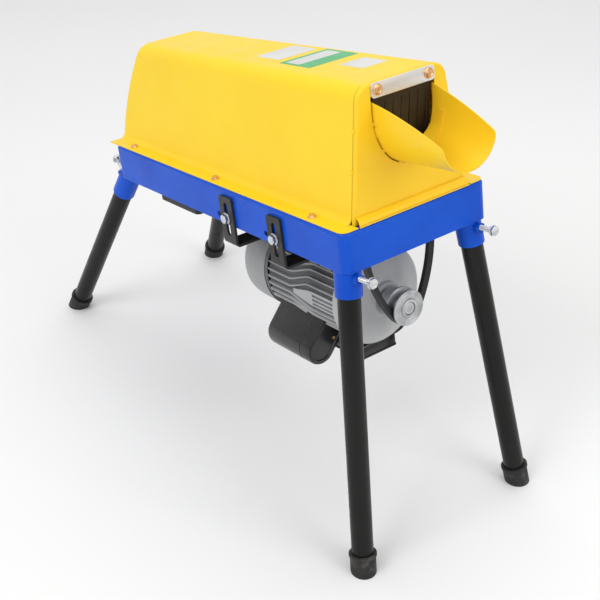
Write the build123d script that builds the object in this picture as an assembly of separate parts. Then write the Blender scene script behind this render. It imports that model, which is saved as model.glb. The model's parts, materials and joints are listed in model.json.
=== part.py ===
"""Small electric maize sheller on four legs.

The machine is laid out in its own deck frame: X runs along the deck towards the
feed end, Y across it, Z square to it, with Z = 0 on top of the blue frame. The
whole deck is then tipped so that the feed end is the higher one, and set down
with its four soles on the floor at Z = 0.
"""

from build123d import *
from math import cos, radians, sin, sqrt, tan
import os

# ---------------------------------------------------------------- driving sizes
DECK_TILT = 9.6            # degrees, feed end up

# sheet steel frame
FRAME_LENGTH = 620
FRAME_WIDTH = 254
SKIRT_HEIGHT = 57
FRAME_SHEET = 2
FRAME_CORNER = 14
FRAME_EDGE_ROLL = 5
SIDE_RIM = 26              # inward rim that carries the hood, long sides
END_RIM = 8                # the same, at the two ends
FRAME_Y = FRAME_WIDTH / 2
RIM_INNER_Y = FRAME_Y - SIDE_RIM
FRAME_FOLD = 6             # height of the rolled edge, where rim and skirt are welded
PAD_SIZE = 46              # plates that close off the leg sockets
PAD_SHEET = 3
BOLT_HOLE_RADIUS = 4.3     # clearance for M8
SPARE_HOLE_X = 28          # spare holes stand this far behind each strap

# legs and their sockets
TUBE_RADIUS = 16
TUBE_WALL = 1.6
SOCKET_RADIUS = 19
SOCKET_FIT = 0.08          # radial play of the leg in its socket
SOCKET_MOUTH_Z = -96
LEG_INSERTION = 32
FRONT_MOUTH = (290, 112)   # X and Y of the socket mouth's centre
REAR_MOUTH = (-340, 112)
FRONT_SPLAY = (0.066, 0.108)   # travel in X and Y for each unit down
REAR_SPLAY = (-0.76, 0.17)
FRONT_REACH = 420          # socket mouth to floor, along the leg
FOOT_RADIUS = 19
FOOT_GRIP = 20             # how far the rubber foot reaches up the tube
FOOT_SOLE = 9              # rubber below the tube's end
CLAMP_BOLT_HEIGHT = 27     # above the socket mouth, along the socket
CLAMP_BOLT_HEAD = 48       # underside of its head, from the socket's axis

# hood, end plate and feed opening
SHEET = 1.5
HOOD_FRONT_X = 297
HOOD_END_X = -340          # the tapered form is drawn to here before its rear is cut
HOOD_REAR_EDGE = ((-327, 0), (-315, 95), (-286, 156))    # its rear edge seen from the side
HOOD_BASE_Y = 98
HOOD_SHOULDER = 22
HOOD_SEAM_X = 292.2        # front edge of the hood's sheet
HOOD_FOOT_BEND = 13        # radius where the walls turn out into the flanges
HOOD_FLANGE_Y = FRAME_Y - 1.5
HOOD_TAB_X = 308           # front end of the flanges
HOOD_TAB_CORNER = 12
FLANGE_HOLE_RADIUS = 2.6   # clearance for M5
FLANGE_SCREW_X = (-262, -12, 229)
FLANGE_SCREW_EDGE = 13     # from the frame's outer face
SEAM_GAP = 0.9
HOOD_TOP_FRONT = (73.3, 177.7)   # half width and height of the roof
HOOD_TOP_REAR = (57.9, 154.2)
PLATE_FLANGE_X = 309.4
PLATE_BEND = 11
PLATE_EDGE_ROLL = 4        # radius of the plate's rolled rim
MOUTH_TOP_Z = 160
SCOOP_GAP = 1.6            # slot between the scoop and the end plate
SCOOP_BACK_X = 296
SCOOP_LIP_X = 417
SCOOP_BACK = (52, 73, 135)       # half width, depth and centre height
SCOOP_LIP = (44, 41, 113)
SCOOP_TOP_BACK_Z = 153
SCOOP_TOP_LIP_Z = 111
COLLAR_X = (296.5, 318)
COLLAR_BACK = (49.9, 39, 120)    # inside of the collar at the mouth: half width, depth, centre height
COLLAR_FRONT = (47.8, 64.8, 131.4)
COLLAR_TOP_Z = 120
FLOOR_SHEET_Z = 60.5
FLOOR_SHEET_X = (236, 297)
TACK_RADIUS = 2.6
TACK_ANGLES = (188, 222, 256, 290, 324, 352)   # round the scoop, seen from the feed end

# rubber curtain
CURTAIN_HALF_WIDTH = 49.5
CURTAIN_THICKNESS = 2.5
CURTAIN_DROP = 90
CURTAIN_SLITS = 7
CURTAIN_SLIT_PITCH = 14
CURTAIN_X = HOOD_FRONT_X - CURTAIN_THICKNESS
HINGE_Z = MOUTH_TOP_Z - CURTAIN_THICKNESS / 2 - 0.35
STRIP_BOLT_Y = 43
STRIP_BOLT_Z = 168
STRIP_HOLE_RADIUS = 3.1    # clearance for M6

# shelling drum
SHAFT_RADIUS = 10
RUNNING_FIT = 0.05
DRUM_RADIUS = 42
PEG_TIP_RADIUS = 56
DRUM_X = (-240, 195)
BEARING_HEIGHT = 33.3
BEARING_BOLT_Y = 42
FRONT_BEARING_X = 228
REAR_BEARING_X = -283
SIEVE_ROD_CIRCLE = 67
SIEVE_ROD_RADIUS = 3
SIEVE_X = (-250, 200)

# belt drive
BELT_X = 261
BELT_WIDTH = 13
BELT_HEIGHT = 8
BELT_SEAT_GAP = 0.5
DRUM_PULLEY_RADIUS = 57
MOTOR_PULLEY_RADIUS = 27
BELT_BULGE_RADIUS = 230    # a slack, stiff belt bows out on both runs

# motor, hung under the deck
MOTOR_Y = 4
MOTOR_Z = -166
MOTOR_SHAFT_RADIUS = 9.5
STATOR_RADIUS = 69.5
FIN_RADIUS = 75
STATOR_X = (20, 192)
BELL_RIM_RADIUS = 77
REAR_BELL_X = -56
FRONT_BELL_X = 226
CAPACITOR_X = (40, 150)
CAPACITOR_HALF_WIDTH = 24
CAPACITOR_AXIS_RADIUS = 111
CAPACITOR_ANGLE = 48       # degrees below level, on the near side
TERMINAL_X = (112, 196)
TERMINAL_Y = (-32, 36)
TERMINAL_Z = (-262, -243.6)
TERMINAL_NECK = (26, 14)   # half width, and height above the box proper
LEAD_RADIUS = 2.6
LEAD_ROUTE = [             # it leaves the terminal box and comes back into the end shield
    (184, 36, -251),
    (184, 50, -251),
    (188, 62, -241),
    (194, 61, -227),
    (199, 50, -217),
]
STRAP_X = {"front": 157, "rear": 35}
STRAP_WIDTH = 33
STRAP_SHEET = 4
STRAP_TOP_Z = -11
STRAP_BOTTOM_Z = -88
STRAP_SIDE_GAP = 0.3
SLOT_LENGTH = 52
SLOT_RADIUS = 5
SLOT_MIDDLE_Z = -46
HANGER_BOLT_Z = -44
SPARE_HOLE_Z = -45
FOOT_BOLT_Y = 44

SIDES = {"near": -1, "far": 1}
ENDS = {"front": 1, "rear": -1}


# ---------------------------------------------------------------- small helpers
def across(x):
    """A plane square to the deck's length: local x is Y, local y is Z."""
    return Plane(origin=(x, 0, 0), x_dir=(0, 1, 0), z_dir=(1, 0, 0))


def side_view(y=0):
    """A plane along the deck: local x is X, local y is Z."""
    return Plane(origin=(0, y, 0), x_dir=(1, 0, 0), z_dir=(0, -1, 0))


def round_bar(x_low, x_high, radius, y=0, z=0):
    """A round bar along X."""
    return Pos((x_low + x_high) / 2, y, z) * Rot(0, 90, 0) * Cylinder(radius, x_high - x_low)


def block(x_range, y_range, z_range):
    """A box from its low and high limits."""
    low = [min(x_range), min(y_range), min(z_range)]
    high = [max(x_range), max(y_range), max(z_range)]
    size = [b - a for a, b in zip(low, high)]
    middle = [(a + b) / 2 for a, b in zip(low, high)]
    return Pos(*middle) * Box(*size)


def turned(profile_points, y=0, z=0):
    """A solid turned about a line along X; points are (x, radius)."""
    outline = make_face(side_view() * Polyline(*profile_points, close=True))
    return Pos(0, y, z) * revolve(outline, Axis.X)


def hex_bolt(shank_radius, shank_length, head_width, head_height, flange_radius=0):
    """A hexagon bolt along -Z, with the underside of its head at Z = 0."""
    head = extrude(RegularPolygon(head_width / 2, 6, major_radius=False), head_height)
    bolt = head + Pos(0, 0, -shank_length / 2) * Cylinder(shank_radius, shank_length)
    if flange_radius:
        bolt += Pos(0, 0, 0.6) * Cylinder(flange_radius, 1.2)
    return bolt


def hex_nut(bore_radius, width, height):
    """A hexagon nut standing on Z = 0."""
    nut = extrude(RegularPolygon(width / 2, 6, major_radius=False), height)
    return nut - Cylinder(bore_radius, 3 * height)


# ---------------------------------------------------------------- frame
def hanger_bolt_places():
    return [(x, side) for x in STRAP_X.values() for side in SIDES.values()]


def flange_screw_places():
    y = FRAME_Y - FLANGE_SCREW_EDGE
    return [(x, side * y) for side in SIDES.values() for x in FLANGE_SCREW_X]


def folded_frame():
    """Rim and skirt together, before they are parted at the weld under the fold."""
    outer = extrude(RectangleRounded(FRAME_LENGTH, FRAME_WIDTH, FRAME_CORNER), -SKIRT_HEIGHT)
    outer = fillet(outer.faces().sort_by(Axis.Z)[-1].edges(), FRAME_EDGE_ROLL)
    hollow = frame_inside()
    hollow = fillet(hollow.faces().sort_by(Axis.Z)[-1].edges(), FRAME_EDGE_ROLL - FRAME_SHEET)
    opening = RectangleRounded(FRAME_LENGTH - 2 * END_RIM, 2 * RIM_INNER_Y, 10)
    return outer - hollow - extrude(opening, SKIRT_HEIGHT, both=True)


def above_fold():
    return Pos(0, 0, 50 - FRAME_FOLD) * Box(2 * FRAME_LENGTH, 2 * FRAME_WIDTH, 100)


def frame_rim():
    """Flat rim with its rolled outer edge."""
    rim = folded_frame() & above_fold()
    for x, y in flange_screw_places():
        rim -= Pos(x, y, 0) * Cylinder(FLANGE_HOLE_RADIUS, 20)
    return rim


def frame_skirt():
    """Upright band with bolt holes for the motor's straps, and a pad in each corner."""
    band = folded_frame() - above_fold()
    for x, side in hanger_bolt_places():
        for bolt_x, bolt_z in ((x, HANGER_BOLT_Z), (x - SPARE_HOLE_X, SPARE_HOLE_Z)):
            band -= Pos(bolt_x, side * FRAME_Y, bolt_z) * Rot(90, 0, 0) * Cylinder(BOLT_HOLE_RADIUS, 20)
    return Compound(children=[*band.solids(), *corner_pads().solids()])


def corner_pads():
    """Four plates inside the skirt's lower corners, each closing off a leg socket."""
    lowest = Pos(0, 0, PAD_SHEET / 2 - SKIRT_HEIGHT) * Box(FRAME_LENGTH, FRAME_WIDTH, PAD_SHEET)
    plates = frame_inside() & lowest
    plates -= Box(FRAME_LENGTH - 2 * PAD_SIZE, 2 * FRAME_WIDTH, 3 * SKIRT_HEIGHT)
    plates -= Box(2 * FRAME_LENGTH, FRAME_WIDTH - 2 * PAD_SIZE, 3 * SKIRT_HEIGHT)
    return plates


def frame_inside():
    """The space inside the skirt."""
    inside = RectangleRounded(
        FRAME_LENGTH - 2 * FRAME_SHEET, FRAME_WIDTH - 2 * FRAME_SHEET, FRAME_CORNER - FRAME_SHEET
    )
    return Pos(0, 0, -FRAME_SHEET) * extrude(inside, -SKIRT_HEIGHT)


def crossbar(x):
    """An inverted channel across the frame that carries one bearing."""
    width, depth, sheet = 46, 20, 4
    top = -BEARING_HEIGHT
    reach = FRAME_Y - FRAME_SHEET
    bar = block((x - width / 2, x + width / 2), (-reach, reach), (top - depth, top))
    bar -= block(
        (x - width / 2 + sheet, x + width / 2 - sheet), (-FRAME_Y, FRAME_Y), (top - 2 * depth, top - sheet)
    )
    for side in SIDES.values():
        bar -= Pos(x, side * BEARING_BOLT_Y, top) * Cylinder(BOLT_HOLE_RADIUS, 20)
    return bar & frame_inside()


# ---------------------------------------------------------------- legs
def mouth(end, side):
    x, y = FRONT_MOUTH if end > 0 else REAR_MOUTH
    return Vector(x, side * y, SOCKET_MOUTH_Z)


def leg_direction(end, side):
    """Unit vector from a socket's mouth down along its leg."""
    run_x, run_y = FRONT_SPLAY if end > 0 else REAR_SPLAY
    return Vector(run_x, side * run_y, -1).normalized()


def leg_place(end, side):
    """Local Z runs up the socket from its mouth, local X out past the frame's end."""
    down = leg_direction(end, side)
    return Plane(origin=mouth(end, side), x_dir=(end, 0, 0), z_dir=-down).location


def floor_up():
    return Vector(sin(radians(DECK_TILT)), 0, cos(radians(DECK_TILT)))


def floor_level():
    """Signed distance of the floor from the deck's origin."""
    up = floor_up()
    return mouth(1, 1).dot(up) + FRONT_REACH * leg_direction(1, 1).dot(up)


def leg_reach(end):
    up = floor_up()
    return (floor_level() - mouth(end, 1).dot(up)) / leg_direction(end, 1).dot(up)


def socket(end, side):
    """A tube stub with its weld nut, closed on top and cut off level under the skirt."""
    body = Pos(0, 0, 32) * Cylinder(SOCKET_RADIUS, 64)
    nut = Pos(SOCKET_RADIUS - 1.5, 0, CLAMP_BOLT_HEIGHT) * Rot(0, 90, 0)
    body += nut * extrude(RegularPolygon(7.5, 6, major_radius=False), 8)
    bore_length = LEG_INSERTION + 0.3
    body -= Pos(0, 0, bore_length / 2 - 5) * Cylinder(TUBE_RADIUS + SOCKET_FIT, bore_length + 10)
    body -= Pos(SOCKET_RADIUS, 0, CLAMP_BOLT_HEIGHT) * Rot(0, 90, 0) * Cylinder(4.05, 2 * SOCKET_RADIUS)
    stub = leg_place(end, side) * body
    above = Pos(0, 0, -SKIRT_HEIGHT + 200) * Box(1000, 500, 400)
    return stub - above


def clamp_bolt(end, side):
    """M8 hexagon bolt through the weld nut; its tip bears on the leg tube."""
    gap_to_leg = 0.3
    length = CLAMP_BOLT_HEAD - TUBE_RADIUS - SOCKET_FIT - gap_to_leg
    bolt = hex_bolt(4, length, 13, 5.5, 8)
    return leg_place(end, side) * Pos(CLAMP_BOLT_HEAD, 0, CLAMP_BOLT_HEIGHT) * Rot(0, 90, 0) * bolt


def leg_tube(end, side):
    reach = leg_reach(end)
    low = -reach + FOOT_SOLE
    tube = Pos(0, 0, (low + LEG_INSERTION) / 2) * Cylinder(TUBE_RADIUS, LEG_INSERTION - low)
    tube -= Pos(0, 0, low) * Cylinder(TUBE_RADIUS - TUBE_WALL, 4 * reach)
    return leg_place(end, side) * tube


def foot(end, side):
    """Rubber cap with a rolled upper rim, its sole moulded level with the floor."""
    reach = leg_reach(end)
    tube_end = -reach + FOOT_SOLE
    top = tube_end + FOOT_GRIP
    low = -reach - 20
    cap = Pos(0, 0, (low + top) / 2) * Cylinder(FOOT_RADIUS, top - low)
    cap += Pos(0, 0, top - 2) * Cylinder(FOOT_RADIUS + 1.4, 4)
    cap -= Pos(0, 0, tube_end + FOOT_GRIP) * Cylinder(TUBE_RADIUS, 2 * FOOT_GRIP)
    placed = leg_place(end, side) * cap
    floor = Rot(0, DECK_TILT, 0) * Pos(0, 0, floor_level() - 100) * Box(2000, 1000, 200)
    return placed - floor


# ---------------------------------------------------------------- hood and feed end
def hood_outline(x, top, inset=0, foot_z=0.0):
    """The hood's cross-section: slanted walls, flat roof and round shoulders."""
    half, height = top
    corners = [
        (-HOOD_BASE_Y + inset, foot_z),
        (-half + inset, height - inset),
        (half - inset, height - inset),
        (HOOD_BASE_Y - inset, foot_z),
    ]
    face = make_face(Polyline(*corners, close=True))
    shoulders = face.vertices().group_by(Axis.Y)[-1]
    return across(x) * fillet(shoulders, HOOD_SHOULDER - inset)


def hood_block(inset=0, foot_z=0.0):
    return loft(
        [
            hood_outline(HOOD_FRONT_X, HOOD_TOP_FRONT, inset, foot_z),
            hood_outline(HOOD_END_X, HOOD_TOP_REAR, inset, foot_z),
        ],
        ruled=True,
    )


def hood_section(x, top):
    """The hood's folded sheet in cross-section, flange to flange."""
    half, height = top
    outer = [
        (-HOOD_FLANGE_Y, SHEET),
        (-HOOD_BASE_Y, SHEET),
        (-half, height),
        (half, height),
        (HOOD_BASE_Y, SHEET),
        (HOOD_FLANGE_Y, SHEET),
    ]
    inner = [
        (HOOD_FLANGE_Y, 0),
        (HOOD_BASE_Y - SHEET, 0),
        (half - SHEET, height - SHEET),
        (SHEET - half, height - SHEET),
        (SHEET - HOOD_BASE_Y, 0),
        (-HOOD_FLANGE_Y, 0),
    ]
    face = make_face(Polyline(*outer, *inner, close=True))
    for points, shoulder, foot in (
        (outer, HOOD_SHOULDER, HOOD_FOOT_BEND - SHEET),
        (inner, HOOD_SHOULDER - SHEET, HOOD_FOOT_BEND),
    ):
        for index, radius in ((1, foot), (2, shoulder), (3, shoulder), (4, foot)):
            corner = face.vertices().sort_by_distance(Vector(*points[index]))[0]
            face = fillet(corner, radius)
    return across(x) * face


def hood():
    """Folded hood that narrows and drops towards its open rear end."""
    share = (HOOD_FRONT_X - HOOD_SEAM_X) / (HOOD_FRONT_X - HOOD_END_X)
    at_seam = [front + share * (rear - front) for front, rear in zip(HOOD_TOP_FRONT, HOOD_TOP_REAR)]
    sections = [hood_section(HOOD_SEAM_X, at_seam), hood_section(HOOD_END_X, HOOD_TOP_REAR)]
    shell = loft(sections, ruled=True)
    low, middle, high = HOOD_REAR_EDGE
    past_end = 2 * HOOD_END_X
    behind = make_face(
        [
            ThreePointArc(low, middle, high),
            Line(high, (high[0], 300)),
            Line((high[0], 300), (past_end, 300)),
            Line((past_end, 300), (past_end, -10)),
            Line((past_end, -10), (low[0], -10)),
            Line((low[0], -10), low),
        ]
    )
    shell -= extrude(side_view() * behind, FRAME_WIDTH, both=True)
    for side in SIDES.values():
        tab_y = (side * (HOOD_BASE_Y + 1), side * HOOD_FLANGE_Y)
        tab = block((HOOD_SEAM_X - 10, HOOD_TAB_X), tab_y, (0, SHEET))
        front_corners = tab.edges().filter_by(Axis.Z).group_by(Axis.X)[-1].sort_by(Axis.Y)
        tab = fillet(front_corners[0 if side < 0 else -1], HOOD_TAB_CORNER)
        shell += tab - hood_block(SHEET, -5)
    for x, y in flange_screw_places():
        shell -= Pos(x, y, 0) * Cylinder(FLANGE_HOLE_RADIUS, 20)
    return shell


def feed_section(section, grow=0.0, top_z=200.0):
    """U outline of the feed trough: straight walls over a half ellipse."""
    half, depth, centre_z = section
    half, depth = half + grow, depth + grow
    left = Line((-half, top_z), (-half, centre_z))
    bottom = EllipticalCenterArc((0, centre_z), half, depth, start_angle=180, arc_size=180)
    right = Line((half, centre_z), (half, top_z))
    lid = Line((half, top_z), (-half, top_z))
    return make_face([left, bottom, right, lid])


def strip_bolt_holes(x):
    """Clearance through the end plate for the two bolts of the curtain's strip."""
    drill = Rot(0, 90, 0) * Cylinder(STRIP_HOLE_RADIUS, 20)
    return [Pos(x, side * STRIP_BOLT_Y, STRIP_BOLT_Z) * drill for side in SIDES.values()]


def end_plate():
    """Feed-end plate: a shallow pan with a rolled rim, its foot curled out over the frame."""
    x = HOOD_FRONT_X
    back_x = HOOD_SEAM_X + SEAM_GAP
    front_x = x + SHEET
    pan = Pos(back_x - x, 0, 0) * extrude(hood_outline(x, HOOD_TOP_FRONT), front_x - back_x)
    rim = pan.faces().sort_by(Axis.X)[-1].edges().sort_by(Axis.Z)[1:]
    pan = fillet(rim, PLATE_EDGE_ROLL)
    inner_outline = hood_outline(x, HOOD_TOP_FRONT, SHEET, -5)
    hollow = Pos(back_x - 1 - x, 0, 0) * extrude(inner_outline, x - back_x + 1)
    roll = hollow.faces().sort_by(Axis.X)[-1].edges().sort_by(Axis.Z)[1:]
    pan -= fillet(roll, PLATE_EDGE_ROLL - SHEET)
    bend = PLATE_BEND
    curl = [
        Line((x, 2 * bend), (x, bend)),
        RadiusArc((x, bend), (x + bend, 0), bend),
        Line((x + bend, 0), (PLATE_FLANGE_X, 0)),
        Line((PLATE_FLANGE_X, 0), (PLATE_FLANGE_X, SHEET)),
        Line((PLATE_FLANGE_X, SHEET), (x + bend, SHEET)),
        RadiusArc((x + bend, SHEET), (front_x, bend), -(bend - SHEET)),
        Line((front_x, bend), (front_x, 2 * bend)),
        Line((front_x, 2 * bend), (x, 2 * bend)),
    ]
    between_walls = extrude(hood_outline(x - 1, HOOD_TOP_FRONT, SEAM_GAP / 2, -5), 20)
    pan += extrude(side_view() * make_face(curl), HOOD_BASE_Y, both=True) & between_walls
    opening = feed_section(SCOOP_BACK, SCOOP_GAP, MOUTH_TOP_Z)
    pan -= extrude(across(x - 5) * opening, 12)
    for hole in strip_bolt_holes(x):
        pan -= hole
    return pan


def feed_scoop():
    """Half-round feed trough that narrows to a rounded lip."""
    far_x = SCOOP_LIP_X + 6
    outer = loft(
        [across(SCOOP_BACK_X) * feed_section(SCOOP_BACK), across(far_x) * feed_section(SCOOP_LIP)]
    )
    inner = loft(
        [
            across(SCOOP_BACK_X - 0.01) * feed_section(SCOOP_BACK, -SHEET, 210),
            across(far_x + 0.01) * feed_section(SCOOP_LIP, -SHEET, 210),
        ]
    )
    shell = outer - inner
    low_z = 20
    top = [
        Line((SCOOP_BACK_X - 1, low_z), (SCOOP_BACK_X - 1, SCOOP_TOP_BACK_Z)),
        ThreePointArc(
            (SCOOP_BACK_X - 1, SCOOP_TOP_BACK_Z),
            ((SCOOP_BACK_X + SCOOP_LIP_X) / 2, (SCOOP_TOP_BACK_Z + SCOOP_TOP_LIP_Z) / 2 + 4),
            (SCOOP_LIP_X, SCOOP_TOP_LIP_Z),
        ),
        Line((SCOOP_LIP_X, SCOOP_TOP_LIP_Z), (SCOOP_LIP_X - 2, low_z)),
        Line((SCOOP_LIP_X - 2, low_z), (SCOOP_BACK_X - 1, low_z)),
    ]
    face = make_face(top)
    corner = face.vertices().group_by(Axis.X)[-1]
    keep = extrude(side_view() * fillet(corner, 10), 80, both=True)
    return shell & keep


def throat_collar():
    """Half-round sheet inside the scoop that climbs to the mouth, its front edge on the scoop."""
    back_x, front_x = COLLAR_X
    outer = loft(
        [
            across(back_x) * feed_section(COLLAR_BACK, SHEET),
            across(front_x) * feed_section(COLLAR_FRONT, SHEET),
        ]
    )
    inner = loft(
        [
            across(back_x - 0.01) * feed_section(COLLAR_BACK, 0, 210),
            across(front_x + 0.01) * feed_section(COLLAR_FRONT, 0, 210),
        ]
    )
    return (outer - inner) & block(COLLAR_X, (-80, 80), (0, COLLAR_TOP_Z))


def scoop_tacks():
    """Weld tacks that bridge the slot between the scoop and the end plate."""
    half, depth, centre_z = SCOOP_BACK
    x = HOOD_FRONT_X + SHEET / 2
    slot = across(x - 2) * (feed_section(SCOOP_BACK, SCOOP_GAP) - feed_section(SCOOP_BACK, -SHEET / 2))
    beads = [
        Pos(x, (half + 0.8) * cos(radians(angle)), centre_z + (depth + 0.8) * sin(radians(angle)))
        * Sphere(TACK_RADIUS)
        for angle in TACK_ANGLES
    ]
    return extrude(slot, 4) & Compound(children=beads)


def feed_floor():
    """Tray inside the hood that carries the ears over the drum pulley."""
    low_x, high_x = FLOOR_SHEET_X
    half = 57
    tray = block((low_x, high_x), (-half, half), (FLOOR_SHEET_Z, FLOOR_SHEET_Z + 24))
    tray -= block((low_x - 1, high_x + 1), (-half + SHEET, half - SHEET), (FLOOR_SHEET_Z + SHEET, 200))
    tray += block((low_x, low_x + SHEET), (-half, half), (FLOOR_SHEET_Z - 18, FLOOR_SHEET_Z + SHEET))
    return tray


def curtain_strip():
    """Zinc-plated strip that clamps the curtain over the mouth."""
    strip = RectangleRounded(106, 19.5, 5)
    plate = extrude(across(HOOD_FRONT_X + SHEET) * Pos(0, 167.4) * strip, 2)
    for hole in strip_bolt_holes(HOOD_FRONT_X):
        plate -= hole
    return plate


def curtain_clamp_edge():
    """Top edge of the rubber curtain, held behind the end plate."""
    edge = block((CURTAIN_X, HOOD_FRONT_X), (-51, 51), (MOUTH_TOP_Z, 173))
    for hole in strip_bolt_holes(HOOD_FRONT_X):
        edge -= hole
    return edge


def strip_bolts():
    """Two flanged M6 bolts through strip, plate and curtain, with their nuts."""
    under_head = HOOD_FRONT_X + SHEET + 2
    bolts = []
    for side in SIDES.values():
        bolt = hex_bolt(3, 16, 10, 4.5, 6.6)
        bolt += Pos(0, 0, CURTAIN_X - under_head - 5) * hex_nut(2.9, 10, 5)
        bolts.append(Pos(under_head, side * STRIP_BOLT_Y, STRIP_BOLT_Z) * Rot(0, 90, 0) * bolt)
    return Compound(children=bolts)


def curtain_flaps():
    """The curtain's fingers, hanging plumb, with a rolled top edge round the bending line."""
    hinge_x = curtain_hinge()[0]
    half = CURTAIN_THICKNESS / 2
    flap = block((-half, half), (-CURTAIN_HALF_WIDTH, CURTAIN_HALF_WIDTH), (-CURTAIN_DROP, 0))
    flap += Rot(90, 0, 0) * Cylinder(half, 2 * CURTAIN_HALF_WIDTH)
    first = -(CURTAIN_SLITS - 1) / 2 * CURTAIN_SLIT_PITCH
    for index in range(CURTAIN_SLITS):
        y = first + index * CURTAIN_SLIT_PITCH
        flap -= block((-5, 5), (y - 0.4, y + 0.4), (-CURTAIN_DROP - 5, -9))
    return Pos(hinge_x, 0, HINGE_Z) * Rot(0, DECK_TILT, 0) * flap


def curtain_hinge():
    return (HOOD_FRONT_X - CURTAIN_THICKNESS / 2, 0, HINGE_Z)


def flange_screws(side):
    """Three hexagon screws that hold one side of the hood to the frame."""
    screws = []
    for x, y in flange_screw_places():
        if y * side > 0:
            screws.append(Pos(x, y, SHEET) * hex_bolt(2.5, 12, 8, 3.6, 5.4))
    return Compound(children=screws)


# ---------------------------------------------------------------- shelling parts
def drum_shell():
    """Welded drum: tube, two end discs and four spiral rows of pegs."""
    low, high = DRUM_X
    shell = round_bar(low, high, DRUM_RADIUS) - round_bar(low - 1, high + 1, DRUM_RADIUS - 3)
    for x in (low, high - 4):
        shell += round_bar(x, x + 4, DRUM_RADIUS - 1)
    rows, pegs_in_row = 4, 11
    pegs = []
    for row in range(rows):
        for index in range(pegs_in_row):
            x = low + 22 + index * 37 + row * 9
            angle = row * 360 / rows + index * 24
            length = PEG_TIP_RADIUS - DRUM_RADIUS + 2
            peg = Pos(x, 0, PEG_TIP_RADIUS - length / 2) * Box(9, 9, length)
            pegs.append(Rot(angle, 0, 0) * peg)
    shell = shell.fuse(*pegs)
    return shell - round_bar(low - 5, high + 5, SHAFT_RADIUS)


def drum_shaft():
    return round_bar(-300, 276, SHAFT_RADIUS)


def pulley(radius, x_middle, face_width, bore, y, z, hub_radius, hub_low):
    """V-belt pulley with one groove, on a hub that reaches back to hub_low."""
    half = face_width / 2
    mouth_half = BELT_WIDTH / 2 + BELT_SEAT_GAP
    root_radius = radius - BELT_HEIGHT - 2
    root_half = mouth_half - (BELT_HEIGHT + 2) * tan(radians(20))
    profile = [
        (x_middle - half, bore),
        (x_middle - half, radius),
        (x_middle - mouth_half, radius),
        (x_middle - root_half, root_radius),
        (x_middle + root_half, root_radius),
        (x_middle + mouth_half, radius),
        (x_middle + half, radius),
        (x_middle + half, bore),
    ]
    wheel = turned(profile, y, z)
    hub = round_bar(hub_low, x_middle - half, hub_radius, y, z)
    return wheel + hub - round_bar(hub_low - 1, x_middle + 1, bore, y, z)


def drum_pulley():
    return pulley(DRUM_PULLEY_RADIUS, BELT_X, 20, SHAFT_RADIUS, 0, 0, 19, BELT_X - 14)


def bearing_housing(x):
    """Cast pillow block; its bore holds the bearing insert."""
    base = block((x - 16, x + 16), (-56, 56), (-BEARING_HEIGHT, -BEARING_HEIGHT + 9))
    base = fillet(base.edges().filter_by(Axis.Z), 6)
    body = base + round_bar(x - 14, x + 14, 27)
    body += block((x - 12, x + 12), (-27, 27), (-BEARING_HEIGHT + 2, 0))
    body -= round_bar(x - 30, x + 30, 20)
    for side in SIDES.values():
        body -= Pos(x, side * BEARING_BOLT_Y, -BEARING_HEIGHT) * Cylinder(BOLT_HOLE_RADIUS, 40)
    return body


def bearing_insert(x):
    ring = round_bar(x - 12, x + 12, 20) - round_bar(x - 30, x + 30, SHAFT_RADIUS + RUNNING_FIT)
    for end in ENDS.values():
        groove = round_bar(x + end * 12 - 1, x + end * 12 + 1, 17.5)
        groove -= round_bar(x + end * 12 - 2, x + end * 12 + 2, 13.5)
        ring -= groove
    return ring


def bearing_bolts():
    """Four M8 bolts with nuts that hold both pillow blocks to their crossbars."""
    bolts = []
    for x in (FRONT_BEARING_X, REAR_BEARING_X):
        for side in SIDES.values():
            bolt = hex_bolt(4, 22, 13, 5.3, 8)
            bolt += Pos(0, 0, -9 - 4 - 6.5) * hex_nut(3.9, 13, 6.5)
            bolts.append(Pos(x, side * BEARING_BOLT_Y, -BEARING_HEIGHT + 9) * bolt)
    return Compound(children=bolts)


def half_ring(x_low, x_high, inner, outer):
    ring = round_bar(x_low, x_high, outer) - round_bar(x_low - 1, x_high + 1, inner)
    return ring - block((x_low - 5, x_high + 5), (-200, 200), (-2, 200))


def concave_sieve():
    """Half-round grid of bars under the drum, with a wing to each side rim."""
    low, high = SIEVE_X
    inner, outer = SIEVE_ROD_CIRCLE - 3, SIEVE_ROD_CIRCLE + 5
    grid = half_ring(low, low + 5, inner, outer)
    for x in (-27, high - 5):
        grid += half_ring(x, x + 5, inner, outer)
    for step in range(12):
        angle = radians(187.5 + 15 * step)
        y, z = SIEVE_ROD_CIRCLE * cos(angle), SIEVE_ROD_CIRCLE * sin(angle)
        grid += round_bar(low, high, SIEVE_ROD_RADIUS, y, z)
    for side in SIDES.values():
        grid += block((low, high), (side * (inner - 0.2), side * (RIM_INNER_Y + 8)), (-3.5, -2))
    return grid


def kernel_slide():
    """Curved sheet under the sieve that leads kernels back to the chute."""
    inner = SIEVE_ROD_CIRCLE + 7
    sheet = round_bar(-125, 202, inner + SHEET) - round_bar(-126, 203, inner)
    reach = inner * sin(radians(48))
    sheet &= block((-200, 300), (-reach, reach), (-200, 0))
    for x in (-24.5, 197.5):
        for angle in (-35, 0, 35):
            tab = Pos(x, 0, -(inner - 0.9)) * Box(5, 8, 2.2)
            sheet += Rot(angle, 0, 0) * tab
    return sheet - round_bar(-200, 300, SIEVE_ROD_CIRCLE + 5)


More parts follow.
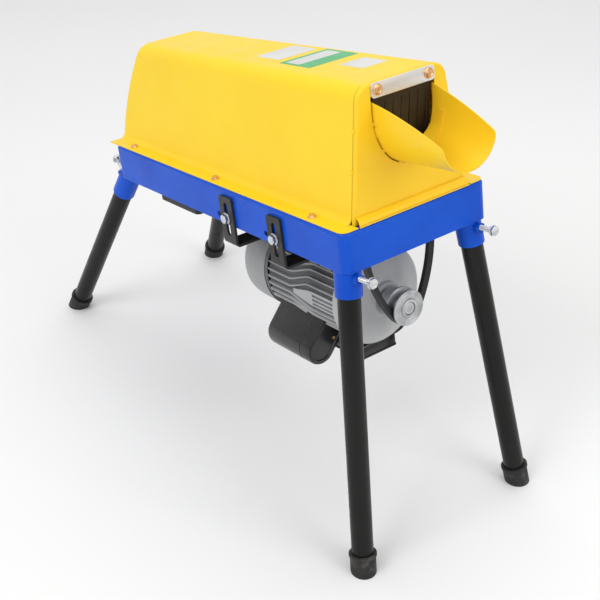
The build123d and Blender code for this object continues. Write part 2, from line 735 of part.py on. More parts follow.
def kernel_chute():
    """Open-bottomed spout below the rear half of the sieve."""
    x_range, half, low_z, high_z = (-245, -125), 92, -93, 2 - SKIRT_HEIGHT
    chute = block(x_range, (-half, half), (low_z, high_z))
    chute = fillet(chute.edges().filter_by(Axis.Z), 8)
    inside = block(
        (x_range[0] + SHEET, x_range[1] - SHEET), (-half + SHEET, half - SHEET), (low_z - 1, high_z + 1)
    )
    chute -= fillet(inside.edges().filter_by(Axis.Z), 8 - SHEET)
    pocket = round_bar(-400, 400, SIEVE_ROD_CIRCLE + 10)
    chute -= pocket
    for side in SIDES.values():
        for x in (-225, -145):
            chute += block(
                (x - 10, x + 10), (side * (half - 1), side * (FRAME_Y - FRAME_SHEET)), (high_z - 2, high_z)
            )
    return chute


def cob_chute():
    """Sloping sheet over the rear bearing, where bare cobs slide out."""
    front_x, rear_x = -248, -316
    front_z, rear_z, lip_z = 36, 30, 14
    cheek = 16
    slope = make_face(
        Polyline(
            (front_x, lip_z),
            (front_x, front_z),
            (rear_x, rear_z),
            (rear_x, rear_z - SHEET),
            (front_x - SHEET, front_z - SHEET),
            (front_x - SHEET, lip_z),
            close=True,
        )
    )
    below = make_face(
        Polyline(
            (front_x, front_z),
            (rear_x, rear_z),
            (rear_x, rear_z - cheek),
            (front_x, front_z - cheek),
            close=True,
        )
    )
    inside_hood = hood_block(SHEET, -5)
    walls = inside_hood - hood_block(2 * SHEET, -5)
    sheet = extrude(side_view() * slope, HOOD_BASE_Y, both=True) & inside_hood
    cheeks = extrude(side_view() * below, HOOD_BASE_Y, both=True) & walls
    return sheet + cheeks


# ---------------------------------------------------------------- belt
def belt_arcs():
    """Pulley centres and pitch radii, and the centres of the two bowed runs."""
    top = (0.0, 0.0)
    low = (MOTOR_Y, MOTOR_Z)
    r_top = DRUM_PULLEY_RADIUS - BELT_HEIGHT / 2
    r_low = MOTOR_PULLEY_RADIUS - BELT_HEIGHT / 2
    span = sqrt(low[0] ** 2 + low[1] ** 2)
    along = (low[0] / span, low[1] / span)
    square = (-along[1], along[0])
    a = BELT_BULGE_RADIUS - r_top
    b = BELT_BULGE_RADIUS - r_low
    u = (a * a - b * b + span * span) / (2 * span)
    v = sqrt(a * a - u * u)
    centres = {}
    for side in (-1, 1):
        centres[side] = tuple(u * along[i] + side * v * square[i] for i in (0, 1))
    return top, low, r_top, r_low, centres


def point_from(centre, towards, distance):
    dx, dy = towards[0] - centre[0], towards[1] - centre[1]
    length = sqrt(dx * dx + dy * dy)
    return (centre[0] + dx / length * distance, centre[1] + dy / length * distance)


def belt_face(offset):
    """The closed belt outline, moved out from the pitch line by offset."""
    top, low, r_top, r_low, centres = belt_arcs()
    bulge = BELT_BULGE_RADIUS
    joints = {}
    for side, centre in centres.items():
        joints[side] = (
            point_from(centre, top, bulge + offset),
            point_from(centre, low, bulge + offset),
        )
    span = sqrt(low[0] ** 2 + low[1] ** 2)
    above = point_from(low, top, span + r_top + offset)
    below = point_from(top, low, span + r_low + offset)
    midway = (low[0] / 2, low[1] / 2)
    edges = [
        ThreePointArc(joints[-1][0], above, joints[1][0]),
        ThreePointArc(joints[1][0], point_from(centres[1], midway, bulge + offset), joints[1][1]),
        ThreePointArc(joints[1][1], below, joints[-1][1]),
        ThreePointArc(joints[-1][1], point_from(centres[-1], midway, bulge + offset), joints[-1][0]),
    ]
    return make_face(edges)


def v_belt():
    """Classic V section carried round both pulleys."""
    layers = 8
    belt = None
    step = BELT_HEIGHT / layers
    for index in range(layers):
        outer = BELT_HEIGHT / 2 - index * step
        width = BELT_WIDTH - 2 * (index + 0.5) * step * tan(radians(20))
        ring = belt_face(outer) - belt_face(outer - step)
        layer = extrude(across(BELT_X) * ring, width / 2, both=True)
        belt = layer if belt is None else belt + layer
    return belt


# ---------------------------------------------------------------- motor
def strap(x):
    """U-shaped hanger: slotted legs outside the skirt, joined under the frame."""
    outer_y = FRAME_Y + STRAP_SIDE_GAP + STRAP_SHEET
    outline = Rectangle(2 * outer_y, STRAP_TOP_Z - STRAP_BOTTOM_Z)
    outline = Pos(0, (STRAP_TOP_Z + STRAP_BOTTOM_Z) / 2) * outline
    outline = fillet(outline.vertices().group_by(Axis.Y)[0], 7)
    body = extrude(across(x) * outline, STRAP_WIDTH / 2, both=True)
    inner = Rectangle(2 * (outer_y - STRAP_SHEET), 200)
    inner = Pos(0, STRAP_BOTTOM_Z + STRAP_SHEET + 100) * inner
    inner = fillet(inner.vertices().group_by(Axis.Y)[0], 3)
    body -= extrude(across(x) * inner, STRAP_WIDTH, both=True)
    upper_edges = body.edges().filter_by(Axis.Y).group_by(Axis.Z)[-1]
    body = fillet(upper_edges, 5)
    slot = SlotOverall(SLOT_LENGTH, 2 * SLOT_RADIUS, rotation=90)
    body -= extrude(side_view() * Pos(x, SLOT_MIDDLE_Z) * slot, 2 * FRAME_WIDTH, both=True)
    for side in SIDES.values():
        body -= Pos(x, MOTOR_Y + side * FOOT_BOLT_Y, STRAP_BOTTOM_Z) * Cylinder(BOLT_HOLE_RADIUS, 20)
    return body


def hanger_bolts(side):
    """Two M8 bolts, each with head and washer outside and a nut inside the skirt."""
    bolts = []
    under_head = FRAME_Y + STRAP_SIDE_GAP + STRAP_SHEET + 0.3
    grip = under_head - (FRAME_Y - FRAME_SHEET)
    for x in STRAP_X.values():
        bolt = hex_bolt(4, grip + 8, 13, 5.3)
        bolt += Pos(0, 0, 0.8) * Cylinder(8.5, 1.6)
        bolt += Pos(0, 0, -grip - 6.5) * hex_nut(3.9, 13, 6.5)
        bolts.append(Pos(x, side * under_head, HANGER_BOLT_Z) * Rot(side * -90, 0, 0) * bolt)
    return Compound(children=bolts)


def motor_bar(x_low, x_high, radius):
    return round_bar(x_low, x_high, radius, MOTOR_Y, MOTOR_Z)


def capacitor_frame():
    """Local x runs from the motor's axis down and out to the near side."""
    return Plane(
        origin=(0, MOTOR_Y, MOTOR_Z),
        x_dir=(0, -cos(radians(CAPACITOR_ANGLE)), -sin(radians(CAPACITOR_ANGLE))),
        z_dir=(1, 0, 0),
    )


def stator_housing():
    """Finned aluminium barrel with four feet that meet the straps."""
    low, high = STATOR_X
    barrel = motor_bar(low, high, STATOR_RADIUS)
    fins = []
    count = 40
    for index in range(count):
        angle = (index + 0.5) * 360 / count
        near_foot = abs((angle + 180) % 360 - 180) < 42
        near_capacitor = abs(angle - 90 - CAPACITOR_ANGLE) < 26
        near_terminals = abs(angle - 180) < 18
        if near_foot or near_capacitor or near_terminals:
            continue
        height = FIN_RADIUS - STATOR_RADIUS + 2
        fin = Pos((low + high) / 2, 0, FIN_RADIUS - height / 2) * Box(high - low, 2, height)
        fins.append(Pos(0, MOTOR_Y, MOTOR_Z) * Rot(angle, 0, 0) * fin)
    barrel = barrel.fuse(*fins)
    for x in STRAP_X.values():
        for side in SIDES.values():
            y = MOTOR_Y + side * FOOT_BOLT_Y
            barrel += block((x - 15, x + 15), (y - 13, y + 13), (STRAP_BOTTOM_Z - 40, STRAP_BOTTOM_Z))
    barrel -= motor_bar(low - 1, high + 1, 58)
    for x in STRAP_X.values():
        for side in SIDES.values():
            y = MOTOR_Y + side * FOOT_BOLT_Y
            barrel -= Pos(x, y, STRAP_BOTTOM_Z) * Cylinder(4, 30)
    return barrel


def motor_foot_bolts():
    """Four M8 bolts that hold the motor's feet to the straps."""
    bolts = []
    for x in STRAP_X.values():
        for side in SIDES.values():
            place = Pos(x, MOTOR_Y + side * FOOT_BOLT_Y, STRAP_BOTTOM_Z + STRAP_SHEET)
            bolts.append(place * hex_bolt(4, STRAP_SHEET + 14, 13, 5.3))
    return Compound(children=bolts)


def stator_core():
    """Laminations with a winding overhang at each end."""
    core = motor_bar(38, 174, 58)
    core += motor_bar(28, 38, 54)
    core += motor_bar(174, 184, 54)
    return core - motor_bar(0, 200, 38)


def front_bell():
    """Bowl-shaped end shield with a bearing boss, open towards the stator."""
    base = STATOR_X[1]
    bore = MOTOR_SHAFT_RADIUS + RUNNING_FIT
    rim = BELL_RIM_RADIUS
    profile = [
        (base, rim - 6),
        (base, rim),
        (base + 11, rim),
        (base + 18, rim - 9),
        (base + 24, rim - 30),
        (base + 26, 26),
        (FRONT_BELL_X, 24),
        (FRONT_BELL_X, bore),
        (base + 14, bore),
        (base + 14, 20),
        (base + 20, 30),
        (base + 12, rim - 12),
        (base + 8, rim - 6),
    ]
    return turned(profile, MOTOR_Y, MOTOR_Z)


def rear_bell():
    """Deep domed end shield with an inner boss for the shaft's rear end."""
    base = STATOR_X[0]
    bore = MOTOR_SHAFT_RADIUS + RUNNING_FIT
    end = REAR_BELL_X
    rim = FIN_RADIUS - 1
    profile = [
        (base, rim),
        (end + 22, rim - 2),
        (end + 10, rim - 7),
        (end + 3, rim - 16),
        (end, rim - 30),
        (end, 0),
        (end + 4, 0),
        (end + 4, bore),
        (end + 16, bore),
        (end + 16, 22),
        (end + 4, 26),
        (end + 7, rim - 20),
        (end + 24, rim - 7),
        (base, rim - 6),
    ]
    return turned(profile, MOTOR_Y, MOTOR_Z)


def capacitor_section(shrink=0.0):
    half = CAPACITOR_HALF_WIDTH - shrink
    start = STATOR_RADIUS - 12
    box = Pos((start + CAPACITOR_AXIS_RADIUS) / 2, 0) * Rectangle(CAPACITOR_AXIS_RADIUS - start, 2 * half)
    return box + Pos(CAPACITOR_AXIS_RADIUS, 0) * Circle(half)


def capacitor_cover():
    """Moulded cover with a round outer edge, closed by the motor's barrel."""
    low, high = CAPACITOR_X
    wall = 2.5
    frame = capacitor_frame()
    cover = Pos(low, 0, 0) * extrude(frame * capacitor_section(), high - low)
    cover -= Pos(low + wall, 0, 0) * extrude(frame * capacitor_section(wall), high - low - 2 * wall)
    return cover - motor_bar(low - 20, high + 20, STATOR_RADIUS + 0.2)


def capacitor():
    low, high = CAPACITOR_X
    can = extrude(capacitor_frame() * (Pos(CAPACITOR_AXIS_RADIUS - 3, 0) * Circle(18)), high - low - 10)
    return Pos(low + 5, 0, 0) * can


def terminal_box():
    """Open-bottomed box on a short neck that saddles the motor's barrel."""
    wall = 2.5
    neck_half, neck_height = TERMINAL_NECK
    top = TERMINAL_Z[1]
    box = block(TERMINAL_X, TERMINAL_Y, TERMINAL_Z)
    box = fillet(box.edges().filter_by(Axis.Z), 4)
    box += block(
        (TERMINAL_X[0] + 6, TERMINAL_X[1] - 6),
        (MOTOR_Y - neck_half, MOTOR_Y + neck_half),
        (top - wall, top + neck_height),
    )
    box -= block(
        (TERMINAL_X[0] + wall, TERMINAL_X[1] - wall),
        (TERMINAL_Y[0] + wall, TERMINAL_Y[1] - wall),
        (TERMINAL_Z[0] - 1, top - wall),
    )
    box -= motor_bar(TERMINAL_X[0], STATOR_X[1] + 12, BELL_RIM_RADIUS)
    box -= motor_bar(TERMINAL_X[0], STATOR_X[1], FIN_RADIUS)
    return box


def terminal_lid():
    lid = block(
        (TERMINAL_X[0] - 1, TERMINAL_X[1] + 1),
        (TERMINAL_Y[0] - 1, TERMINAL_Y[1] + 1),
        (TERMINAL_Z[0] - 3, TERMINAL_Z[0]),
    )
    return fillet(lid.edges().filter_by(Axis.Z), 4)


def lead_loop():
    """Short motor lead that loops from the terminal box back into the end shield."""
    route = LEAD_ROUTE
    radii = []
    for before, here, after in zip(route, route[1:], route[2:]):
        first = Vector(*here) - Vector(*before)
        second = Vector(*after) - Vector(*here)
        half_turn = radians(first.get_angle(second)) / 2
        radii.append(0.45 * min(first.length, second.length) / tan(half_turn))
    path = FilletPolyline(*[Vector(*point) for point in route], radius=radii)
    section = Plane(origin=route[0], z_dir=Vector(*route[1]) - Vector(*route[0])) * Circle(LEAD_RADIUS)
    return sweep(section, path=path) - motor_bar(STATOR_X[1], FRONT_BELL_X, BELL_RIM_RADIUS)


def rotor_core():
    core = motor_bar(38, 174, 37.4)
    return core - motor_bar(0, 200, MOTOR_SHAFT_RADIUS)


def motor_shaft():
    return motor_bar(REAR_BELL_X + 5, 272, MOTOR_SHAFT_RADIUS)


def motor_pulley():
    wheel = pulley(
        MOTOR_PULLEY_RADIUS, BELT_X, 20, MOTOR_SHAFT_RADIUS, MOTOR_Y, MOTOR_Z, 21, FRONT_BELL_X + 4
    )
    wheel += motor_bar(BELT_X + 9, 273.5, 14) - motor_bar(BELT_X, 280, MOTOR_SHAFT_RADIUS)
    return wheel


# ---------------------------------------------------------------- assembly
def build_nodes():
    """Every sub-part in the deck frame, by name."""
    nodes = {
        "frame_rim": frame_rim(),
        "frame_skirt": frame_skirt(),
        "crossbar_front": crossbar(FRONT_BEARING_X),
        "crossbar_rear": crossbar(REAR_BEARING_X),
        "hood": hood(),
        "end_plate": end_plate(),
        "feed_scoop": feed_scoop() + throat_collar() + scoop_tacks(),
        "feed_floor": feed_floor(),
        "curtain_strip": curtain_strip(),
        "curtain_clamp_edge": curtain_clamp_edge(),
        "strip_bolts": strip_bolts(),
        "curtain_flaps": curtain_flaps(),
        "cob_chute": cob_chute(),
        "concave_sieve": concave_sieve(),
        "kernel_slide": kernel_slide(),
        "kernel_chute": kernel_chute(),
        "bearing_bolts": bearing_bolts(),
        "drum_shell": drum_shell(),
        "drum_shaft": drum_shaft(),
        "drum_pulley": drum_pulley(),
        "v_belt": v_belt(),
        "stator_housing": stator_housing(),
        "stator_core": stator_core(),
        "motor_foot_bolts": motor_foot_bolts(),
        "front_bell": front_bell(),
        "rear_bell": rear_bell(),
        "capacitor_cover": capacitor_cover(),
        "capacitor": capacitor(),
        "terminal_box": terminal_box(),
        "terminal_lid": terminal_lid(),
        "lead_loop": lead_loop(),
        "rotor_core": rotor_core(),
        "motor_shaft": motor_shaft(),
        "motor_pulley": motor_pulley(),
    }
    for end_name, x in (("front", FRONT_BEARING_X), ("rear", REAR_BEARING_X)):
        nodes[f"bearing_housing_{end_name}"] = bearing_housing(x)
        nodes[f"bearing_insert_{end_name}"] = bearing_insert(x)
    for end_name, x in STRAP_X.items():
        nodes[f"motor_strap_{end_name}"] = strap(x)
    for side_name, side in SIDES.items():
        nodes[f"flange_screws_{side_name}"] = flange_screws(side)
        nodes[f"hanger_bolts_{side_name}"] = hanger_bolts(side)
        for end_name, end in ENDS.items():
            corner = f"{end_name}_{side_name}"
            nodes[f"socket_{corner}"] = socket(end, side)
            nodes[f"clamp_bolt_{corner}"] = clamp_bolt(end, side)
            nodes[f"leg_{corner}"] = leg_tube(end, side)
            nodes[f"foot_{corner}"] = foot(end, side)
    return nodes


def floor_placement(nodes):
    """Tips the deck and puts the bottom centre of the whole machine at the origin."""
    tipped = Location((0, 0, -floor_level()), (0, -DECK_TILT, 0))
    rear_foot = (tipped * nodes["foot_rear_near"]).bounding_box()
    ahead = (tipped * nodes["feed_scoop"]).bounding_box()
    front_foot = (tipped * nodes["foot_front_near"]).bounding_box()
    middle = (rear_foot.min.X + max(ahead.max.X, front_foot.max.X)) / 2
    return Location((-middle, 0, 0)) * tipped


def main():
    nodes = build_nodes()
    place = floor_placement(nodes)
    os.makedirs("parts", exist_ok=True)
    for name, shape in nodes.items():
        export_step(place * shape, f"parts/{name}.step")


if __name__ == "__main__":
    main()
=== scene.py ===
import json
import math
import random

import bmesh
import bpy
from mathutils import Matrix, Vector, noise


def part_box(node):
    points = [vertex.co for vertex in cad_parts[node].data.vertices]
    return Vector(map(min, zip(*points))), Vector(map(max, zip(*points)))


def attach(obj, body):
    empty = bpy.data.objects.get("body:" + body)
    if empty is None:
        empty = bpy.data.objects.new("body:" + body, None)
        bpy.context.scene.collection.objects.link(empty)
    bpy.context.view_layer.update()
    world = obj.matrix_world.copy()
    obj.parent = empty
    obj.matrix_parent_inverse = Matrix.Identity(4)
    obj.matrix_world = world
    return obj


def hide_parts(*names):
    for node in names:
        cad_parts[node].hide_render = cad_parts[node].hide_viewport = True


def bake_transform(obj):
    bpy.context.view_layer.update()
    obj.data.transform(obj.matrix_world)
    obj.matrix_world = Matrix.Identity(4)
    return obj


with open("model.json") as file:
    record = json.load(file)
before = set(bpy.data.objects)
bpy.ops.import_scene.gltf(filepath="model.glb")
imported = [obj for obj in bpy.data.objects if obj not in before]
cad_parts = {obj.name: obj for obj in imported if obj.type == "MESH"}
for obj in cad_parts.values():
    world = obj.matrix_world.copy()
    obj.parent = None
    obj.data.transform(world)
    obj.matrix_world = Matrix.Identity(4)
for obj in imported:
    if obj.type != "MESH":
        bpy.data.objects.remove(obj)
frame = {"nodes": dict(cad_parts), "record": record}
nodes = frame["nodes"]
joints = {j["name"]: j for j in frame["record"]["behaviour"]["joints"]}
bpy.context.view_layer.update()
RNG = random.Random(11)

# ------------------------------------------------------------------ deck frame
# The deck is tipped on its legs. Its origin and directions come from the joints.
ORIGIN = Vector(joints["drum_spin"]["pos_m"])
ALONG = Vector(joints["drum_spin"]["axis"]).normalized()
RISE = Vector(joints["motor_adjust"]["axis"]).normalized()
WIDE = Vector((0, 1, 0))


def deck(x, y, z):
    """A point given in millimetres along, across and square to the deck."""
    return ORIGIN + (ALONG * x + WIDE * y + RISE * z) / 1000


def deck_direction(x, y, z):
    return (ALONG * x + WIDE * y + RISE * z).normalized()


# ------------------------------------------------------------------ camera
LENS, SENSOR = 67.7, 36.0
CAMERA_PLACE = (1379.1, -904.0, 554.4)
CAMERA_AZIMUTH, CAMERA_ELEVATION, CAMERA_ROLL = 53.61, 33.61, -0.903


def add_camera():
    data = bpy.data.cameras.new("camera")
    data.lens, data.sensor_width = LENS, SENSOR
    data.clip_start, data.clip_end = 0.02, 50
    camera = bpy.data.objects.new("camera", data)
    bpy.context.collection.objects.link(camera)
    a, e, r = (math.radians(v) for v in (CAMERA_AZIMUTH, CAMERA_ELEVATION, CAMERA_ROLL))
    back = Vector((math.sin(a) * math.cos(e), -math.cos(a) * math.cos(e), math.sin(e)))
    right = Vector((math.cos(a), math.sin(a), 0))
    up = back.cross(right)
    right, up = right * math.cos(r) + up * math.sin(r), up * math.cos(r) - right * math.sin(r)
    turn = Matrix((right, up, back)).transposed().to_4x4()
    camera.matrix_world = Matrix.Translation(deck(*CAMERA_PLACE)) @ turn
    bpy.context.scene.camera = camera


# ------------------------------------------------------------------ materials
class Graph:
    """A small helper round one material's node tree."""

    def __init__(self, name):
        self.material = bpy.data.materials.new(name)
        self.material.use_nodes = True
        self.tree = self.material.node_tree
        self.shader = self.tree.nodes["Principled BSDF"]
        self.where = self.add("ShaderNodeTexCoord").outputs["Object"]

    def add(self, kind, **settings):
        node = self.tree.nodes.new(kind)
        for key, value in settings.items():
            setattr(node, key, value)
        return node

    def link(self, source, target):
        self.tree.links.new(source, target)

    def noise(self, scale, detail=4.0, rough=0.55, stretch=(1, 1, 1), offset=0.0):
        place = self.add("ShaderNodeMapping")
        place.inputs["Scale"].default_value = stretch
        place.inputs["Location"].default_value = (offset, offset * 0.7, offset * 1.3)
        self.link(self.where, place.inputs["Vector"])
        node = self.add("ShaderNodeTexNoise")
        node.inputs["Scale"].default_value = scale
        node.inputs["Detail"].default_value = detail
        node.inputs["Roughness"].default_value = rough
        self.link(place.outputs["Vector"], node.inputs["Vector"])
        return node.outputs["Fac"]

    def ramp(self, source, low, high, out_low=0.0, out_high=1.0):
        node = self.add("ShaderNodeMapRange", interpolation_type="SMOOTHSTEP")
        settings = {"From Min": low, "From Max": high, "To Min": out_low, "To Max": out_high}
        for key, value in settings.items():
            node.inputs[key].default_value = value
        self.link(source, node.inputs["Value"])
        return node.outputs["Result"]

    def mix(self, factor, first, second):
        node = self.add("ShaderNodeMix", data_type="RGBA")
        self.link(factor, node.inputs["Factor"])
        for value, socket in ((first, node.inputs[6]), (second, node.inputs[7])):
            if isinstance(value, bpy.types.NodeSocket):
                self.link(value, socket)
            else:
                socket.default_value = (*value, 1)
        return node.outputs[2]

    def times(self, first, second):
        node = self.add("ShaderNodeMath", operation="MULTIPLY")
        for value, socket in ((first, node.inputs[0]), (second, node.inputs[1])):
            if isinstance(value, bpy.types.NodeSocket):
                self.link(value, socket)
            else:
                socket.default_value = value
        return node.outputs[0]

    def edges(self, radius):
        """(rounded normal, mask that is 1 along sharp edges)."""
        bevel = self.add("ShaderNodeBevel", samples=4)
        bevel.inputs["Radius"].default_value = radius
        plain = self.add("ShaderNodeNewGeometry")
        dot = self.add("ShaderNodeVectorMath", operation="DOT_PRODUCT")
        self.link(bevel.outputs["Normal"], dot.inputs[0])
        self.link(plain.outputs["Normal"], dot.inputs[1])
        return bevel.outputs["Normal"], self.ramp(dot.outputs["Value"], 0.985, 0.86)

    def bump(self, height, strength, distance, normal=None):
        node = self.add("ShaderNodeBump")
        node.inputs["Strength"].default_value = strength
        node.inputs["Distance"].default_value = distance
        self.link(height, node.inputs["Height"])
        if normal is not None:
            self.link(normal, node.inputs["Normal"])
        return node.outputs["Normal"]

    def set(self, name, value):
        self.shader.inputs[name].default_value = value

    def finish(self, colour, rough, normal):
        self.link(colour, self.shader.inputs["Base Color"])
        self.link(rough, self.shader.inputs["Roughness"])
        self.link(normal, self.shader.inputs["Normal"])
        return self.material


def paint(
    name, light, dark, rough=(0.28, 0.42), coat=0.08, peel=0.06,
    wear=None, edge=0.0009, scuff=0.0, blotch=9, shine=0.25,
):
    """Sprayed paint on sheet steel: soft blotches, orange peel, and worn edges."""
    g = Graph(name)
    colour = g.mix(g.ramp(g.noise(blotch, 3), 0.3, 0.7), light, dark)
    normal, rim = g.edges(edge)
    if scuff:
        marks = g.ramp(g.noise(55, 8, 0.75, offset=3.1), 0.64, 0.74, 0, scuff)
        colour = g.mix(marks, colour, tuple(min(1, c * 1.5 + 0.03) for c in light))
    if wear:
        patchy = g.times(rim, g.ramp(g.noise(70, 6, 0.7, offset=1.7), 0.46, 0.62))
        colour = g.mix(patchy, colour, wear)
    roughness = g.ramp(g.noise(24, 5, offset=5.0), 0.3, 0.7, *rough)
    g.set("Coat Weight", coat)
    g.set("Coat Roughness", 0.22)
    g.set("Specular IOR Level", shine)
    fine = g.noise(520, 2, 0.4)
    return g.finish(colour, roughness, g.bump(fine, peel, 0.0004, normal))


def metal(
    name, light, dark, rough=(0.25, 0.4), grain=(1, 1, 1), grain_scale=300,
    depth=0.12, metallic=1.0, edge=0.0006, dirt=0.0,
):
    """Plated, turned or cast metal with its grain along one direction."""
    g = Graph(name)
    colour = g.mix(g.ramp(g.noise(45, 5, stretch=grain), 0.3, 0.7), light, dark)
    normal, rim = g.edges(edge)
    # Painted highlight: sharp edges are lightened towards a brighter copy of the light colour.
    colour = g.mix(g.times(rim, 0.5), colour, tuple(min(1, c * 1.25) for c in light))
    if dirt:
        grime = g.ramp(g.noise(28, 7, 0.7, offset=2.2), 0.52, 0.72, 0, dirt)
        colour = g.mix(grime, colour, tuple(c * 0.3 for c in dark))
    g.set("Metallic", metallic)
    roughness = g.ramp(g.noise(60, 5, stretch=grain, offset=4.0), 0.3, 0.7, *rough)
    fine = g.noise(grain_scale, 3, stretch=grain)
    return g.finish(colour, roughness, g.bump(fine, depth, 0.0003, normal))


def moulded(
    name, light, dark, rough=(0.4, 0.6), depth=0.15, grain=700,
    edge=0.001, dust=0.0, dust_colour=(0.2, 0.19, 0.17), shine=0.3,
):
    """Rubber or moulded plastic with a fine surface grain."""
    g = Graph(name)
    colour = g.mix(g.ramp(g.noise(20, 4), 0.3, 0.7), light, dark)
    normal, rim = g.edges(edge)
    # Painted highlight: sharp edges of the rubber and plastic are lightened well above the light colour.
    colour = g.mix(g.times(rim, 0.35), colour, tuple(c * 1.9 + 0.01 for c in light))
    if dust:
        film = g.ramp(g.noise(36, 7, 0.7, offset=2.9), 0.5, 0.7, 0, dust)
        colour = g.mix(film, colour, dust_colour)
    g.set("Specular IOR Level", shine)
    roughness = g.ramp(g.noise(40, 4, offset=4.4), 0.3, 0.7, *rough)
    return g.finish(colour, roughness, g.bump(g.noise(grain, 2), depth, 0.0003, normal))


def tube_paint(name):
    """Satin black powder coat on leg tube, with faint rub marks round it."""
    g = Graph(name)
    cloud = g.ramp(g.noise(12, 5, stretch=(1, 1, 0.3)), 0.35, 0.65)
    colour = g.mix(cloud, (0.006, 0.0055, 0.005), (0.01, 0.0095, 0.009))
    rubs = g.ramp(g.noise(90, 8, 0.8, stretch=(1, 1, 0.15), offset=2.0), 0.62, 0.78, 0, 0.3)
    colour = g.mix(rubs, colour, (0.07, 0.066, 0.062))
    normal, _ = g.edges(0.0006)
    g.set("Specular IOR Level", 0.22)
    roughness = g.ramp(g.noise(30, 4, offset=6.0), 0.3, 0.7, 0.24, 0.36)
    return g.finish(colour, roughness, g.bump(g.noise(600, 2), 0.08, 0.0003, normal))


def finned_alloy(name, groove, ridge):
    """Cast fins: painted shade darkens the grooves between them and a painted highlight brightens their
    tips and edges, with random patches of grime on top.
    """
    g = Graph(name)
    away = g.add("ShaderNodeVectorMath", operation="SUBTRACT")
    g.link(g.where, away.inputs[0])
    away.inputs[1].default_value = deck(0, MOTOR_Y, MOTOR_Z)
    square = g.add("ShaderNodeVectorMath", operation="CROSS_PRODUCT")
    g.link(away.outputs["Vector"], square.inputs[0])
    square.inputs[1].default_value = ALONG
    reach = g.add("ShaderNodeVectorMath", operation="LENGTH")
    g.link(square.outputs["Vector"], reach.inputs[0])
    # Painted shade and highlight: the colour runs from the dark groove colour at the barrel to the light
    # ridge colour at the fin tips.
    climb = g.ramp(reach.outputs["Value"], BARREL / 1000, (FIN_TIP - 1.6) / 1000)
    colour = g.mix(climb, groove, ridge)
    grime = g.ramp(g.noise(34, 7, 0.7, offset=2.2), 0.5, 0.72, 0, 0.3)
    colour = g.mix(grime, colour, groove)
    normal, rim = g.edges(0.0008)
    # Painted highlight: sharp edges are lightened towards a brighter copy of the ridge colour.
    colour = g.mix(g.times(rim, 0.35), colour, tuple(min(1, c * 1.35) for c in ridge))
    g.set("Specular IOR Level", 0.4)
    roughness = g.ramp(g.noise(24, 5, offset=5.0), 0.3, 0.7, 0.34, 0.5)
    return g.finish(colour, roughness, g.bump(g.noise(420, 3), 0.3, 0.0003, normal))


# The motor's axis across the deck, its body's length, and its radii, in millimetres.
MOTOR_Y, MOTOR_Z = 4.0, -166.0
STATOR_X = (20.0, 192.0)
BARREL, FIN_TIP = 69.5, 75.0
CAPACITOR_ANGLE = 228.0    # degrees round the motor
SHAFT_SEAT = 9.55          # radius of the bores round the motor's shaft
BELT_X = 261.0

